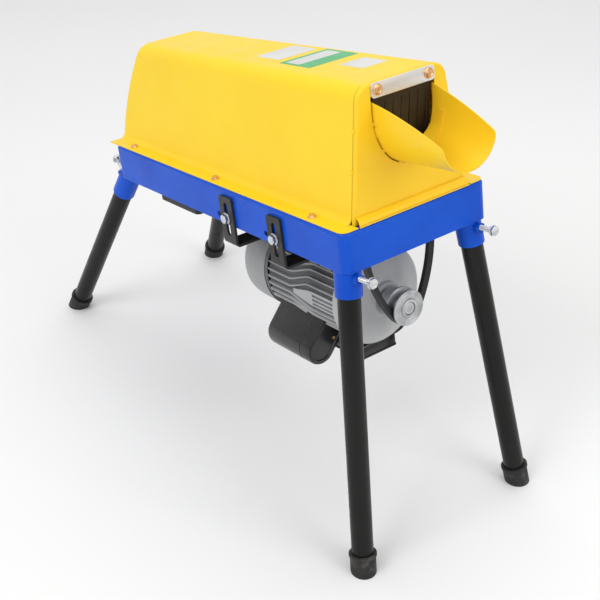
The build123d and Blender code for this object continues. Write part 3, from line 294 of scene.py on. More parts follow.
# Each material: its maker, its light and dark colours, and its settings.
RECIPES = {
    "yellow_paint": (
        paint, (0.95, 0.67, 0.02), (0.93, 0.63, 0.016),
        dict(wear=(0.86, 0.62, 0.16), blotch=5),
    ),
    "plate_paint": (
        paint, (0.95, 0.635, 0.022), (0.92, 0.59, 0.018),
        dict(wear=(0.85, 0.6, 0.2), blotch=7),
    ),
    "blue_paint": (
        paint, (0.003, 0.09, 0.62), (0.002, 0.07, 0.53),
        dict(wear=(0.1, 0.28, 0.78), scuff=0.35, shine=0.15),
    ),
    "black_paint": (
        paint, (0.022, 0.021, 0.02), (0.032, 0.031, 0.03),
        dict(rough=(0.38, 0.55), coat=0.1, wear=(0.12, 0.12, 0.12)),
    ),
    "rubber": (moulded, (0.03, 0.029, 0.028), (0.018, 0.018, 0.018), dict(rough=(0.55, 0.75), dust=0.3)),
    "curtain_rubber": (
        moulded, (0.036, 0.028, 0.02), (0.022, 0.017, 0.012),
        dict(rough=(0.5, 0.68), depth=0.3, grain=380, edge=0.0004),
    ),
    "belt_rubber": (
        moulded, (0.026, 0.026, 0.026), (0.016, 0.016, 0.016),
        dict(rough=(0.4, 0.6), depth=0.35, grain=900),
    ),
    "zinc": (metal, (0.78, 0.79, 0.8), (0.55, 0.57, 0.6), dict(rough=(0.18, 0.34))),
    "strip_zinc": (
        metal, (0.88, 0.87, 0.85), (0.74, 0.73, 0.71),
        dict(rough=(0.3, 0.46), grain=(1, 0.12, 1), dirt=0.12),
    ),
    "yellow_zinc": (metal, (0.86, 0.55, 0.3), (0.72, 0.42, 0.2), dict(rough=(0.25, 0.42))),
    "cast_grey": (
        metal, (0.2, 0.21, 0.22), (0.12, 0.13, 0.14),
        dict(rough=(0.5, 0.7), metallic=0.3, depth=0.5, grain_scale=420),
    ),
    "steel": (metal, (0.6, 0.6, 0.6), (0.42, 0.42, 0.43), dict(rough=(0.2, 0.38), grain=(1, 0.2, 0.2))),
    "drum_grey": (
        paint, (0.05, 0.05, 0.055), (0.1, 0.09, 0.085),
        dict(rough=(0.4, 0.6), coat=0.0, wear=(0.4, 0.38, 0.36), scuff=0.6),
    ),
    "pulley_alloy": (
        metal, (0.56, 0.57, 0.58), (0.36, 0.37, 0.38),
        dict(rough=(0.3, 0.48), metallic=0.75, dirt=0.5),
    ),
    "bell_alloy": (
        paint, (0.47, 0.475, 0.475), (0.39, 0.395, 0.4),
        dict(rough=(0.3, 0.45), coat=0.2, peel=0.15, wear=(0.62, 0.62, 0.62)),
    ),
    "cowl_alloy": (
        paint, (0.34, 0.345, 0.35), (0.27, 0.275, 0.28),
        dict(rough=(0.3, 0.45), coat=0.2, peel=0.15, wear=(0.5, 0.5, 0.5)),
    ),
    "black_plastic": (
        moulded, (0.017, 0.017, 0.018), (0.01, 0.01, 0.011),
        dict(rough=(0.16, 0.28), depth=0.05, dust=0.06, shine=0.5),
    ),
    "can": (metal, (0.7, 0.7, 0.7), (0.6, 0.6, 0.6), dict(rough=(0.2, 0.35))),
    "lead": (moulded, (0.02, 0.02, 0.02), (0.012, 0.012, 0.012), dict(rough=(0.45, 0.6), depth=0.3)),
    "label_white": (
        paint, (0.72, 0.72, 0.7), (0.6, 0.6, 0.59),
        dict(rough=(0.35, 0.5), coat=0.1, peel=0.02),
    ),
    "label_green": (
        paint, (0.12, 0.5, 0.22), (0.09, 0.43, 0.18),
        dict(rough=(0.35, 0.5), coat=0.1, peel=0.02),
    ),
    # seam_dark: near-black filler for the seam line, a painted shadow standing in for the shade inside the
    # gap.
    "seam_dark": (moulded, (0.01, 0.009, 0.008), (0.02, 0.017, 0.012), dict(rough=(0.7, 0.9))),
    "braze": (metal, (0.45, 0.3, 0.16), (0.25, 0.17, 0.1), dict(rough=(0.4, 0.6), dirt=0.4)),
}
MATERIALS = {
    name: maker(name, light, dark, **settings) for name, (maker, light, dark, settings) in RECIPES.items()
}
MATERIALS["leg_black"] = tube_paint("leg_black")
# motor_alloy: the dark colour is painted shade in the grooves between the fins, and the light colour is a
# painted highlight on their tips.
MATERIALS["motor_alloy"] = finned_alloy("motor_alloy", (0.1, 0.102, 0.105), (0.4, 0.405, 0.41))

# CAD nodes that wear another material than the one of their slot.
WORN_INSTEAD = {
    "end_plate": "plate_paint",
    "feed_scoop": "plate_paint",
    "feed_floor": "plate_paint",
    "curtain_strip": "strip_zinc",
}


def dress_cad():
    """Every CAD node takes the material of its slot in the record."""
    for entry in frame["record"]["subparts"]:
        name = entry["node"]
        chosen = MATERIALS[WORN_INSTEAD.get(name, entry["material_slot"])]
        slots = nodes[name].material_slots
        if not slots:
            nodes[name].data.materials.append(chosen)
        for held in slots:
            held.material = chosen


# ------------------------------------------------------------------ mesh helpers
def add_piece(name, mesh_or_bmesh, material, body, sharp=35):
    if isinstance(mesh_or_bmesh, bmesh.types.BMesh):
        mesh = bpy.data.meshes.new(name)
        bmesh.ops.recalc_face_normals(mesh_or_bmesh, faces=mesh_or_bmesh.faces)
        mesh_or_bmesh.to_mesh(mesh)
        mesh_or_bmesh.free()
    else:
        mesh = mesh_or_bmesh
    piece = bpy.data.objects.new(name, mesh)
    bpy.context.collection.objects.link(piece)
    mesh.materials.append(MATERIALS[material])
    mesh.polygons.foreach_set("use_smooth", [True] * len(mesh.polygons))
    mesh.set_sharp_from_angle(angle=math.radians(sharp))
    if body:
        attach(piece, body)
    return piece


def rings(bm, loops, closed=True, cap=False):
    """Joins equal loops of points with quads; cap closes the two end loops."""
    made = [[bm.verts.new(p) for p in loop] for loop in loops]
    count = len(made[0])
    for a, b in zip(made, made[1:]):
        for i in range(count if closed else count - 1):
            j = (i + 1) % count
            bm.faces.new((a[i], a[j], b[j], b[i]))
    if cap:
        bm.faces.new(made[0])
        bm.faces.new(list(reversed(made[-1])))
    return made


def smooth_line(points, steps):
    """Catmull-Rom line through a few (a, b) pairs."""
    out = []
    padded = [points[0], *points, points[-1]]
    for p0, p1, p2, p3 in zip(padded, padded[1:], padded[2:], padded[3:]):
        for k in range(steps):
            t = k / steps
            out.append(
                tuple(
                    0.5 * (
                        2 * b + (c - a) * t + (2 * a - 5 * b + 4 * c - d) * t * t
                        + (3 * b - a - 3 * c + d) * t**3
                    )
                    for a, b, c, d in zip(p0, p1, p2, p3)
                )
            )
    out.append(points[-1])
    return out


def lathe(bm, profile, y, z, segments=72):
    """Turns (x, radius) pairs about a line along the deck."""
    loops = []
    for x, r in profile:
        loops.append(
            [
                deck(x, y + r * math.cos(a), z + r * math.sin(a))
                for a in turns(segments)
            ]
        )
    return rings(bm, loops)


def local_frame(origin, axis, turn=0.0):
    """Rotation and origin that carry local +Z to the axis, in metres."""
    quat = Vector(axis).normalized().to_track_quat("Z", "Y")
    return Matrix.Translation(origin) @ quat.to_matrix().to_4x4() @ Matrix.Rotation(turn, 4, "Z")


def turns(count):
    """Equal angles once round."""
    return [math.tau * k / count for k in range(count)]


def circle(radius, height, count):
    return [Vector((radius * math.cos(a), radius * math.sin(a), height)) for a in turns(count)]


def flats(angle, width):
    """Radius of a hexagon of this width across its flats."""
    folded = (angle + math.pi / 6) % (math.pi / 3) - math.pi / 6
    return width / 2 / math.cos(folded)


def rounded_rectangle(xs, ys, corner, per_corner, grow=0.0):
    """Outline in (x, y) whose corners are arcs of per_corner points, moved out by grow."""
    outline = []
    for at_high_x, at_high_y, start in ((1, 1, 0), (0, 1, 90), (0, 0, 180), (1, 0, 270)):
        cx = xs[at_high_x] + (corner - grow) * (1 - 2 * at_high_x)
        cy = ys[at_high_y] + (corner - grow) * (1 - 2 * at_high_y)
        for k in range(per_corner):
            a = math.radians(start + 90 / (per_corner - 1) * k)
            outline.append((cx + corner * math.cos(a), cy + corner * math.sin(a)))
    return outline


NO_LIMIT = 1e9    # for a row whose hexagon corners are not turned off


def bolt_head(bm, place, width, height, flange=0.0, washer=0.0, washer_thick=1.6, below=0.0):
    """Hexagon head with chamfered corners and a dished top, on a flange or washer. Millimetres."""
    scale = Matrix.Scale(0.001, 4)
    start = len(bm.verts)
    base, count = 0.0, 36
    if washer:
        base = washer_thick
        rows = [
            (-below, washer - 0.3), (-below, washer), (washer_thick - 0.25, washer),
            (washer_thick, washer - 0.3), (washer_thick, 2),
        ]
        rings(bm, [circle(r, h, count) for h, r in rows])
    if flange:
        rows = [
            (base, flange - 0.2), (base + 0.9, flange), (base + 1.3, flange - 0.5),
            (base + 1.9, width * 0.52),
        ]
        rings(bm, [circle(r, h, count) for h, r in rows])
    corner = width / math.sqrt(3)
    top = base + height
    hexagon = (
        (base, NO_LIMIT), (top - 0.18 * height, NO_LIMIT), (top - 0.07 * height, corner * 0.965),
        (top, corner * 0.86),
    )
    rows = [[(min(flats(a, width), limit), a, h) for a in turns(count)] for h, limit in hexagon]
    for h, share in ((top, 0.62), (top - 0.35, 0.52), (top - 0.45, 0.05)):
        rows.append([(corner * share, a, h) for a in turns(count)])
    loops = [[Vector((r * math.cos(a), r * math.sin(a), h)) for r, a, h in row] for row in rows]
    rings(bm, loops, cap=True)
    bm.verts.ensure_lookup_table()
    for vert in bm.verts[start:]:
        vert.co = place @ (scale @ vert.co)


def shank(bm, place, radius, low, high, thread=1.25):
    """Threaded shank along local Z, from low to high, in millimetres."""
    rows, count = [], 20
    h = low
    while h < high:
        rows += [(h, radius), (h + thread / 2, radius * 0.88)]
        h += thread
    rows.append((high, radius))
    rings(bm, [[place @ (p / 1000) for p in circle(r, z, count)] for z, r in rows], cap=True)


def nut(bm, place, width, low, high, bore):
    """Hexagon nut with chamfered faces, in millimetres along local Z."""
    corner = width / math.sqrt(3)
    slope = 0.12 * (high - low)
    rows = [
        (low, bore), (low, corner * 0.86), (low + slope, NO_LIMIT), (high - slope, NO_LIMIT),
        (high, corner * 0.86), (high, bore), (low, bore),
    ]
    loops = []
    for h, limit in rows:
        loop = []
        for a in turns(36):
            r = bore if limit == bore else min(flats(a, width), limit)
            loop.append(place @ (Vector((r * math.cos(a), r * math.sin(a), h)) / 1000))
        loops.append(loop)
    rings(bm, loops)


# ------------------------------------------------------------------ the motor

def on_barrel(x, angle, radius):
    """A point round the motor; the angle is in degrees from the far side, turning up."""
    a = math.radians(angle)
    return deck(x, MOTOR_Y + radius * math.cos(a), MOTOR_Z + radius * math.sin(a))


def ease(value, low, high):
    t = min(1.0, max(0.0, (value - low) / (high - low)))
    return t * t * (3 - 2 * t)


def kink(value, low, high):
    """A straight ramp with slightly softened ends."""
    t = min(1.0, max(0.0, (value - low) / (high - low)))
    return 0.75 * t + 0.25 * t * t * (3 - 2 * t)


# The name-plate pad: its middle, how far the fins part round it, in degrees, and where along
# the motor they part. Then the angle between fins.
PAD_MIDDLE, PAD_SHIFT, PAD_RAMP = 181.0, 11.5, (84.0, 128.0)
FIN_STEP = 9.0


def fin_angle(x, angle):
    """Fins near the name-plate pad step apart to go round it."""
    for middle in (PAD_MIDDLE, PAD_MIDDLE - 180.0):
        off = (angle - middle + 180) % 360 - 180
        if abs(off) < 46:
            fade = 1 - ease(abs(off), 26, 46)
            return angle + math.copysign(PAD_SHIFT * fade * kink(x, *PAD_RAMP), off)
    return angle


def add_fin(bm, angle, low, high, tip=FIN_TIP):
    steps = max(6, int((high - low) / 5))
    loops = []
    for k in range(steps + 1):
        x = low + (high - low) * k / steps
        middle = fin_angle(x, angle)
        reach = tip
        from_end = min(x - low, high - x)
        if from_end < 1.0:
            reach = tip - 1.2
        base, top = 2.1, 1.05
        loops.append(
            [
                on_barrel(x, middle - math.degrees(base / BARREL), BARREL - 1.5),
                on_barrel(x, middle - math.degrees(top / reach), reach - 0.6),
                on_barrel(x, middle - math.degrees(0.55 / reach), reach),
                on_barrel(x, middle + math.degrees(0.55 / reach), reach),
                on_barrel(x, middle + math.degrees(top / reach), reach - 0.6),
                on_barrel(x, middle + math.degrees(base / BARREL), BARREL - 1.5),
            ]
        )
    rings(bm, loops, cap=True)


def terrace(bm, xs, angles, height):
    """Stepped patch on the barrel: each cell has its own radius, with walls between."""
    def cell(i, j):
        if 0 <= i < len(xs) - 1 and 0 <= j < len(angles(xs[0])) - 1:
            return height(i, j)
        return BARREL - 1.5

    count = len(angles(xs[0])) - 1
    for i in range(len(xs) - 1):
        for j in range(count):
            r = cell(i, j)
            a0, a1 = angles(xs[i]), angles(xs[i + 1])
            corners = [(xs[i], a0[j]), (xs[i + 1], a1[j]), (xs[i + 1], a1[j + 1]), (xs[i], a0[j + 1])]
            bm.faces.new([bm.verts.new(on_barrel(x, a, r)) for x, a in corners])
            for (p, q), other in (
                ((0, 1), cell(i, j - 1)),
                ((1, 2), cell(i + 1, j)),
                ((2, 3), cell(i, j + 1)),
                ((3, 0), cell(i - 1, j)),
            ):
                if other < r - 0.05:
                    quad = [(corners[p], r), (corners[q], r), (corners[q], other), (corners[p], other)]
                    bm.faces.new([bm.verts.new(on_barrel(x, a, h)) for (x, a), h in quad])


def stator_piece():
    bm = bmesh.new()
    low, high = STATOR_X
    barrel = [
        (low, 58), (low, BARREL - 3), (low + 2, BARREL - 2), (low + 6, BARREL), (high, BARREL),
        (high, 58), (low, 58),
    ]
    lathe(bm, barrel, MOTOR_Y, MOTOR_Z, 96)
    for k in range(40):
        angle = PAD_MIDDLE + (k + 0.5) * FIN_STEP
        turned = angle % 360
        near_foot = min(abs(turned - 51), abs(turned - 129)) < 20
        near_top = abs(turned - 90) < 26
        capacitor = abs(turned - CAPACITOR_ANGLE) < 17
        terminal = abs(turned - 270) < 22
        if near_foot or near_top:
            for span in ((54, 138), (176, high)):
                add_fin(bm, angle, *span)
        elif terminal:
            add_fin(bm, angle, low + 6, 108)
        elif capacitor:
            continue
        else:
            add_fin(bm, angle, low + 6, high)
    for middle in (PAD_MIDDLE, PAD_MIDDLE - 180.0):
        spread = (-9.4, -6.4, -3.6, -1.2, 1.6, 4.2, 7.0, 9.4)

        def angles(x, middle=middle, spread=spread):
            share = 0.25 + 0.75 * kink(x, PAD_RAMP[0] + 4, PAD_RAMP[1] + 6)
            return [middle + a * share for a in spread]

        xs = [92, 100, 108, 116, 124, 132, 139, 190]

        def height(i, j):
            if i == len(xs) - 2 and j in (1, 3, 5):
                return 71.2
            return 73.6

        terrace(bm, xs, angles, height)
    for x in (157, 35):
        for side in (-1, 1):
            y = MOTOR_Y + side * 44
            corners = [(-15, -13), (15, -13), (15, 13), (-15, 13)]
            top = [deck(x + a * 0.97, y + b * 0.97, -88.2) for a, b in corners]
            rim = [deck(x + a, y + b, -89.2) for a, b in corners]
            mid = [deck(x + a, y + b, -98) for a, b in corners]
            low_ring = [deck(x + a * 0.9, y + b * 1.05 - side * 2, -128) for a, b in corners]
            rings(bm, [top, rim, mid, low_ring], cap=True)
    bmesh.ops.remove_doubles(bm, verts=bm.verts, dist=0.00002)
    piece = add_piece("stator_barrel", bm, "motor_alloy", "motor_carriage", 30)
    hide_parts("stator_housing")
    return piece


def bells():
    bm = bmesh.new()
    x0 = STATOR_X[1]
    dome = [
        (x0 + 1.2, 77), (x0 + 8.5, 77), (x0 + 11.2, 75.6), (x0 + 15, 71), (x0 + 19.5, 58),
        (x0 + 22.5, 44), (x0 + 24, 31),
    ]
    outer = smooth_line(dome, 5)
    boss = [
        (x0 + 25.2, 28.6), (x0 + 26.2, 26), (225.5, 25.2), (226, 24.4), (226, 16.5),
        (224.6, 16.2), (224.6, SHAFT_SEAT),
    ]
    inner = [
        (x0 + 14, SHAFT_SEAT), (x0 + 14, 20), (x0 + 20, 30), (x0 + 12, 65), (x0, 71), (x0, 76),
        (x0 + 1.2, 77),
    ]
    lathe(bm, [*outer, *boss, *inner], MOTOR_Y, MOTOR_Z, 96)
    for k in range(4):
        angle = 45 + 90 * k
        spot = local_frame(on_barrel(x0 + 11.5, angle, 69.5), ALONG)
        bolt_head(bm, spot, 7, 3.5, washer=5.2, washer_thick=0.8, below=3)
    front = add_piece("front_bell_shield", bm, "bell_alloy", "motor_carriage", 32)
    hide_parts("front_bell")

    bm = bmesh.new()
    end, base = -56.0, STATOR_X[0] - 4
    cowl = [
        (base, 74.2), (base - 2, 74.6), (end + 26, 73.6), (end + 14, 70.5), (end + 6, 63.5),
        (end + 1.4, 51), (end, 36), (end, 18),
    ]
    outer = smooth_line(cowl, 5)
    inside = [
        (end, 0.01), (end + 4, 0.01), (end + 4, SHAFT_SEAT), (end + 16, SHAFT_SEAT), (end + 16, 22),
        (end + 6, 30), (end + 24, 66), (base, 70.5), (base + 4, 69.4), (base + 4, 72.4),
        (base, 72.6), (base, 74.2),
    ]
    lathe(bm, [*outer, *inside], MOTOR_Y, MOTOR_Z, 96)
    rear = add_piece("rear_bell_cowl", bm, "cowl_alloy", "motor_carriage", 32)
    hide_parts("rear_bell")


def pulley_piece():
    """Turned pulley: flange faces with rings, a V groove, and the shaft's end with its centre hole."""
    bm = bmesh.new()
    mid, bore = BELT_X, SHAFT_SEAT
    groove = [
        (mid + 7.4, 27), (mid + 7.0, 27), (mid + 3.4, 17), (mid - 3.4, 17), (mid - 7.0, 27),
        (mid - 7.4, 27),
    ]
    profile = [
        (mid + 9.2, bore), (mid + 12.2, bore + 0.4), (mid + 12.5, bore + 0.8), (mid + 12.5, 13.4),
        (mid + 12, 14), (mid + 10.4, 14.2), (mid + 9.4, 15), (mid + 9.2, 17.4), (mid + 9.6, 18),
        (mid + 9.9, 21.5), (mid + 9.5, 22.3), (mid + 10, 23), (mid + 10, 26.4), (mid + 9.4, 27),
        *groove, (mid - 9.4, 27), (mid - 10, 26.4), (mid - 10, 22), (230.6, 21), (230, 20.4),
        (230, bore), (mid + 9.2, bore),
    ]
    lathe(bm, profile, MOTOR_Y, MOTOR_Z, 80)
    wheel = add_piece("motor_pulley_turned", bm, "pulley_alloy", "motor_rotor", 28)
    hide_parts("motor_pulley")
    bm = bmesh.new()
    tip = 272.0
    turned = [
        (-51, 0.01), (-51, 8.6), (-50, 9.5), (tip - 0.8, 9.5), (tip, 8.7), (tip, 4.6),
        (tip - 0.9, 4.2), (tip - 1, 2.2), (tip - 3.2, 0.01),
    ]
    lathe(bm, turned, MOTOR_Y, MOTOR_Z, 48)
    shaft = add_piece("motor_shaft_turned", bm, "steel", "motor_rotor", 28)
    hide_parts("motor_shaft")


def capacitor_piece():
    """Moulded D-section cover with an end cap, its open side on the barrel."""
    bm = bmesh.new()
    half, start, reach, axis = 24.0, 66.5, 111.0, math.radians(CAPACITOR_ANGLE)
    power = 2 / (0.82 * 1.3)    # 2 would make the end a true half circle

    def across_motor(x, u, v):
        """A point u out along the capacitor's axis and v to its side."""
        y = MOTOR_Y + u * math.cos(axis) - v * math.sin(axis)
        z = MOTOR_Z + u * math.sin(axis) + v * math.cos(axis)
        return deck(x, y, z)

    def outline(shrink, x):
        points = [(start, -half + shrink)]
        for k in range(17):
            a = -math.pi / 2 + math.pi * k / 16
            c, s = math.cos(a), math.sin(a)
            r = (half - shrink) / (abs(c) ** power + abs(s) ** power) ** (1 / power)
            points.append((reach + r * c, r * s))
        points.append((start, half - shrink))
        return [across_motor(x, u, v) for u, v in points]

    low, high = 40.0, 150.0
    loops = [
        outline(6, low), outline(2.6, low + 0.5), outline(0.8, low + 2.0), outline(0, low + 5),
        outline(0, 124), outline(0.0, 124.4), outline(0.9, 124.8), outline(0.9, 126.0), outline(0.1, 126.5),
        outline(0.2, high - 4), outline(1, high - 1.4), outline(3, high - 0.3), outline(7, high),
        outline(7.6, high - 2.2), outline(12, high - 2.4),
    ]
    rings(bm, loops, cap=True)
    cover = add_piece("capacitor_shell", bm, "black_plastic", "motor_carriage", 40)
    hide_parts("capacitor_cover")
    bm = bmesh.new()
    spot = local_frame(across_motor(high - 3.2, 86, 11), ALONG)
    bolt_head(bm, spot, 4.5, 2, washer=3.6, washer_thick=0.5, below=1)
    add_piece("capacitor_screw", bm, "yellow_zinc", "motor_carriage")


def terminal_piece():
    bm = bmesh.new()
    xs, ys = (112.0, 196.0), (-32.0, 36.0)
    rows = (
        (-243.8, -3), (-244.4, -1.2), (-246.5, 0), (-260.8, 0), (-261.4, -0.6), (-261.8, -0.6),
        (-262.2, 0.8), (-264.2, 0.8), (-265, -0.4),
    )
    loops = [
        [deck(x, y, z) for x, y in rounded_rectangle(xs, ys, 4.0, 5, grow)] for z, grow in rows
    ]
    rings(bm, loops, cap=True)
    neck = []
    for z, inset in ((-243, 0), (-232, 1)):
        (x0, x1), (y0, y1) = (118 + inset, 190 - inset), (-22 + inset, 30 - inset)
        neck.append([deck(x, y, z) for x, y in ((x0, y0), (x1, y0), (x1, y1), (x0, y1))])
    rings(bm, neck)
    box = add_piece("terminal_case", bm, "black_plastic", "motor_carriage", 40)
    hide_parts("terminal_box", "terminal_lid")
    bm = bmesh.new()
    for x, y in ((118, -26), (190, -26), (118, 30), (190, 30)):
        bolt_head(bm, local_frame(deck(x, y, -264.8), -RISE), 5, 1.8, washer=4, washer_thick=0.5, below=1)
    add_piece("terminal_screws", bm, "zinc", "motor_carriage")


# ------------------------------------------------------------------ lead loop
LEAD_RADIUS = 0.0026


def lead_piece():
    """Short motor lead out of the terminal box and back into the end shield."""
    route = [(184, 36, -251), (184, 50, -251), (188, 62, -241), (194, 61, -227), (197.6, 53.6, -220.2)]
    data = bpy.data.curves.new("motor_lead", "CURVE")
    data.dimensions = "3D"
    data.bevel_depth, data.bevel_resolution, data.use_fill_caps = LEAD_RADIUS, 5, True
    spline = data.splines.new("NURBS")
    spline.points.add(len(route) - 1)
    for point, place in zip(spline.points, route):
        point.co = (*deck(*place), 1)
    spline.order_u, spline.use_endpoint_u, spline.resolution_u = 3, True, 12
    piece = bpy.data.objects.new("motor_lead", data)
    bpy.context.collection.objects.link(piece)
    data.materials.append(MATERIALS["lead"])
    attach(piece, "motor_carriage")
    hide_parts("lead_loop")
    flat = bpy.data.objects.new("motor_lead_line", data.copy())
    flat.data.bevel_depth = 0.0
    bpy.context.collection.objects.link(flat)
    line = bpy.data.meshes.new_from_object(flat)
    ends = ([line.vertices[i].co for i in edge.vertices] for edge in line.edges)
    run = sum((first - last).length for first, last in ends)
    bpy.data.objects.remove(flat)
    deck(*route[0])


# ------------------------------------------------------------------ belt
BELT_WIDTH, BELT_HEIGHT = 13.0, 8.0


def belt_line():
    """Pitch line of the belt in the plane across the deck: points and outward normals."""
    r_top, r_low, bulge = 53.0, 23.0, 230.0
    span = math.hypot(MOTOR_Y, MOTOR_Z)
    along = Vector((MOTOR_Y, MOTOR_Z)) / span
    square = Vector((-along[1], along[0]))
    a, b = bulge - r_top, bulge - r_low
    u = (a * a - b * b + span * span) / (2 * span)
    v = math.sqrt(a * a - u * u)
    top, low = Vector((0, 0)), Vector((MOTOR_Y, MOTOR_Z))
    arcs = []
    for side in (1, -1):
        centre = along * u + square * v * side
        to_top, to_low = (top - centre).normalized(), (low - centre).normalized()
        arcs.append((centre, to_top, to_low))

    def arc(centre, radius, first, last, around):
        a0 = math.atan2(first[1], first[0])
        sweep = math.atan2(last[1], last[0]) - a0
        while around > 0 and sweep < 0:
            sweep += math.tau
        while around < 0 and sweep > 0:
            sweep -= math.tau
        count = max(3, int(abs(sweep) * radius / 6))
        for k in range(count):
            t = a0 + sweep * k / count
            out = Vector((math.cos(t), math.sin(t)))
            yield centre + out * radius, out

    (c1, t1, l1), (c2, t2, l2) = arcs
    line = list(arc(c1, bulge, t1, l1, 1 if t1.cross(l1) > 0 else -1))
    line += list(arc(low, r_low, l1, l2, 1 if t1.cross(l1) > 0 else -1))
    line += list(arc(c2, bulge, l2, t2, 1 if l2.cross(t2) > 0 else -1))
    line += list(arc(top, r_top, t2, t1, 1 if l2.cross(t2) > 0 else -1))
    return line


def belt_piece():
    bm = bmesh.new()
    half, h = BELT_WIDTH / 2, BELT_HEIGHT / 2
    slant = BELT_HEIGHT * math.tan(math.radians(20))
    right = [(half - 0.4, h), (half, h - 0.5), (half - slant, -h + 0.4), (half - slant - 0.6, -h)]
    left = [(-a, b) for a, b in reversed(right)]
    section = [left[-1], *right, *left[:-1]]
    loops = []
    for point, out in belt_line():
        loops.append([deck(BELT_X + a, *(point + out * b)) for a, b in section])
    made = rings(bm, loops)
    for i in range(len(section)):
        j = (i + 1) % len(section)
        bm.faces.new((made[-1][i], made[-1][j], made[0][j], made[0][i]))
    belt = add_piece("drive_belt", bm, "belt_rubber", None, 30)
    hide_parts("v_belt")
    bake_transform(belt)


# ------------------------------------------------------------------ curtain
def curtain_piece():
    """Slit rubber: separate fingers that hang from one clamped edge, each a little curled."""
    hinge = Vector(joints["curtain_swing"]["pos_m"])
    drop, thick, half = 0.0895, 0.0022, 0.0492
    pitch, first = 0.014, -0.042
    cuts = [-half, *[first + pitch * k for k in range(7)], half]
    bm = bmesh.new()
    root = 0.0095
    curls = [0.6, -0.9, 0.5, 1.2, -0.7, 0.9, -0.4, 0.7]
    for index, (y0, y1) in enumerate(zip(cuts, cuts[1:])):
        gap = 0.0004
        left, right = y0 + (gap if index else 0), y1 - (gap if index < 7 else 0)
        rows, loops = 14, []
        for k in range(rows + 1):
            s = k / rows
            z = -drop * s
            lean = curls[index] * 0.0009 * max(0.0, s - 0.1) ** 1.5
            narrow = 0.00025 * ease(s, root / drop, 0.4) if 0 < index < 7 else 0.0
            front, back = thick / 2 + lean, -thick / 2 + lean
            crown = 0.00025 * ease(s, 0.1, 0.5)
            loops.append(
                [
                    hinge + Vector((back, left + narrow, z)),
                    hinge + Vector((front - 0.0002, left + narrow, z)),
                    hinge + Vector((front + crown, (left + right) / 2, z)),
                    hinge + Vector((front - 0.0002, right - narrow, z)),
                    hinge + Vector((back, right - narrow, z)),
                    hinge + Vector((back + crown, (left + right) / 2, z)),
                ]
            )
        rings(bm, loops, cap=True)
    slab = []
    for z in (-root, -0.0002):
        back, front = -thick / 2, thick / 2 - 0.0002
        corners = ((back, -half), (front, -half), (front, half), (back, half))
        slab.append([hinge + Vector((x, y, z)) for x, y in corners])
    rings(bm, slab, cap=True)
    piece = add_piece("curtain_fingers", bm, "curtain_rubber", None, 30)
    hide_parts("curtain_flaps")
    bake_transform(piece)
    nodes["curtain_clamp_edge"].material_slots[0].material = MATERIALS["curtain_rubber"]


# ------------------------------------------------------------------ bolts
def bolts():
    """Hexagon heads, washers, nuts and threads in place of the plain CAD bolts."""
    for side_name, side in (("near", -1), ("far", 1)):
        bm = bmesh.new()
        out = WIDE * side
        for x in (157, 35):
            at = local_frame(deck(x, side * 131.6, -44), out, RNG.uniform(0, 1))
            bolt_head(bm, at, 13, 5.3, washer=8.6, washer_thick=1.6)
            shank(bm, at, 3.95, -14.6, 0)
            nut(bm, at, 13, -13.3, -6.9, 4.0)
        piece = add_piece(f"hanger_bolt_set_{side_name}", bm, "zinc", "frame", 30)
        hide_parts(f"hanger_bolts_{side_name}")
        bm = bmesh.new()
        for x in (-262, -12, 229):
            at = local_frame(deck(x, side * 114, 1.5), RISE, RNG.uniform(0, 1))
            bolt_head(bm, at, 8, 4.6, flange=6.2)
            shank(bm, at, 2.4, -12, 0, 0.8)
        piece = add_piece(f"flange_screw_set_{side_name}", bm, "yellow_zinc", "frame", 30)
        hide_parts(f"flange_screws_{side_name}")
        for end_name in ("front", "rear"):
            corner = f"{end_name}_{side_name}"
            low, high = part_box(f"clamp_bolt_{corner}")
            leg = Vector(joints[f"leg_slide_{corner}"]["axis"]).normalized()
            outward = ALONG if end_name == "front" else -ALONG
            outward = (outward - leg * outward.dot(leg)).normalized()
            head = (Vector(low) + Vector(high)) / 2 + outward * 0.0131
            bm = bmesh.new()
            at = local_frame(head, outward, RNG.uniform(0, 1))
            bolt_head(bm, at, 13, 5.5, flange=8.0)
            shank(bm, at, 3.95, -31.4, 0)
            piece = add_piece(f"clamp_bolt_set_{corner}", bm, "zinc", "frame", 30)
            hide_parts(f"clamp_bolt_{corner}")
    bm = bmesh.new()
    for side in (-1, 1):
        at = local_frame(deck(300.5, side * 43, 168), ALONG, 0.3 * side)
        bolt_head(bm, at, 10, 4.6, flange=7.4)
        shank(bm, at, 2.9, -15.5, 0, 1.0)
        nut(bm, at, 10, -11, -6.1, 3.0)
    piece = add_piece("strip_bolt_set", bm, "yellow_zinc", "frame", 30)
    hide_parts("strip_bolts")


# ------------------------------------------------------------------ labels and welds
def roof_height(x):
    """Height of the sloping roof, from its front to its rear edge."""
    return 177.7 - (177.7 - 154.2) / 637 * (297 - x)


def label(name, x_range, y_range, material, lift=0.12):
    bm = bmesh.new()
    outline = rounded_rectangle(x_range, y_range, 2.0, 4)
    loops = [[deck(x, y, roof_height(x) + h) for x, y in outline] for h in (0.02, lift)]
    rings(bm, loops, cap=True)
    add_piece(name, bm, material, "frame")


def labels():
    """Plain plates with nothing on them."""
    label("roof_plate_a", (4, 62), (-25, 44), "label_white")
    label("roof_plate_b", (78, 150), (-36, 50), "label_green")
    label("roof_plate_b_panel", (86, 118), (-30, 44), "label_white", 0.2)
    label("roof_plate_c", (176, 227), (-5, 38), "label_white")


def weld_bead(bm, centre_line, radius, seed):
    """Rippled bead along a closed or open line of (point, outward) pairs."""
    loops = []
    for k, (point, side, up) in enumerate(centre_line):
        ripple = 1 + 0.22 * math.sin(k * 2.1 + seed) + 0.12 * noise.noise(Vector((k * 0.37, seed, 0)))
        loops.append(
            [point + (side * math.cos(a) + up * math.sin(a)) * radius * ripple for a in turns(8)]
        )
    rings(bm, loops, cap=True)


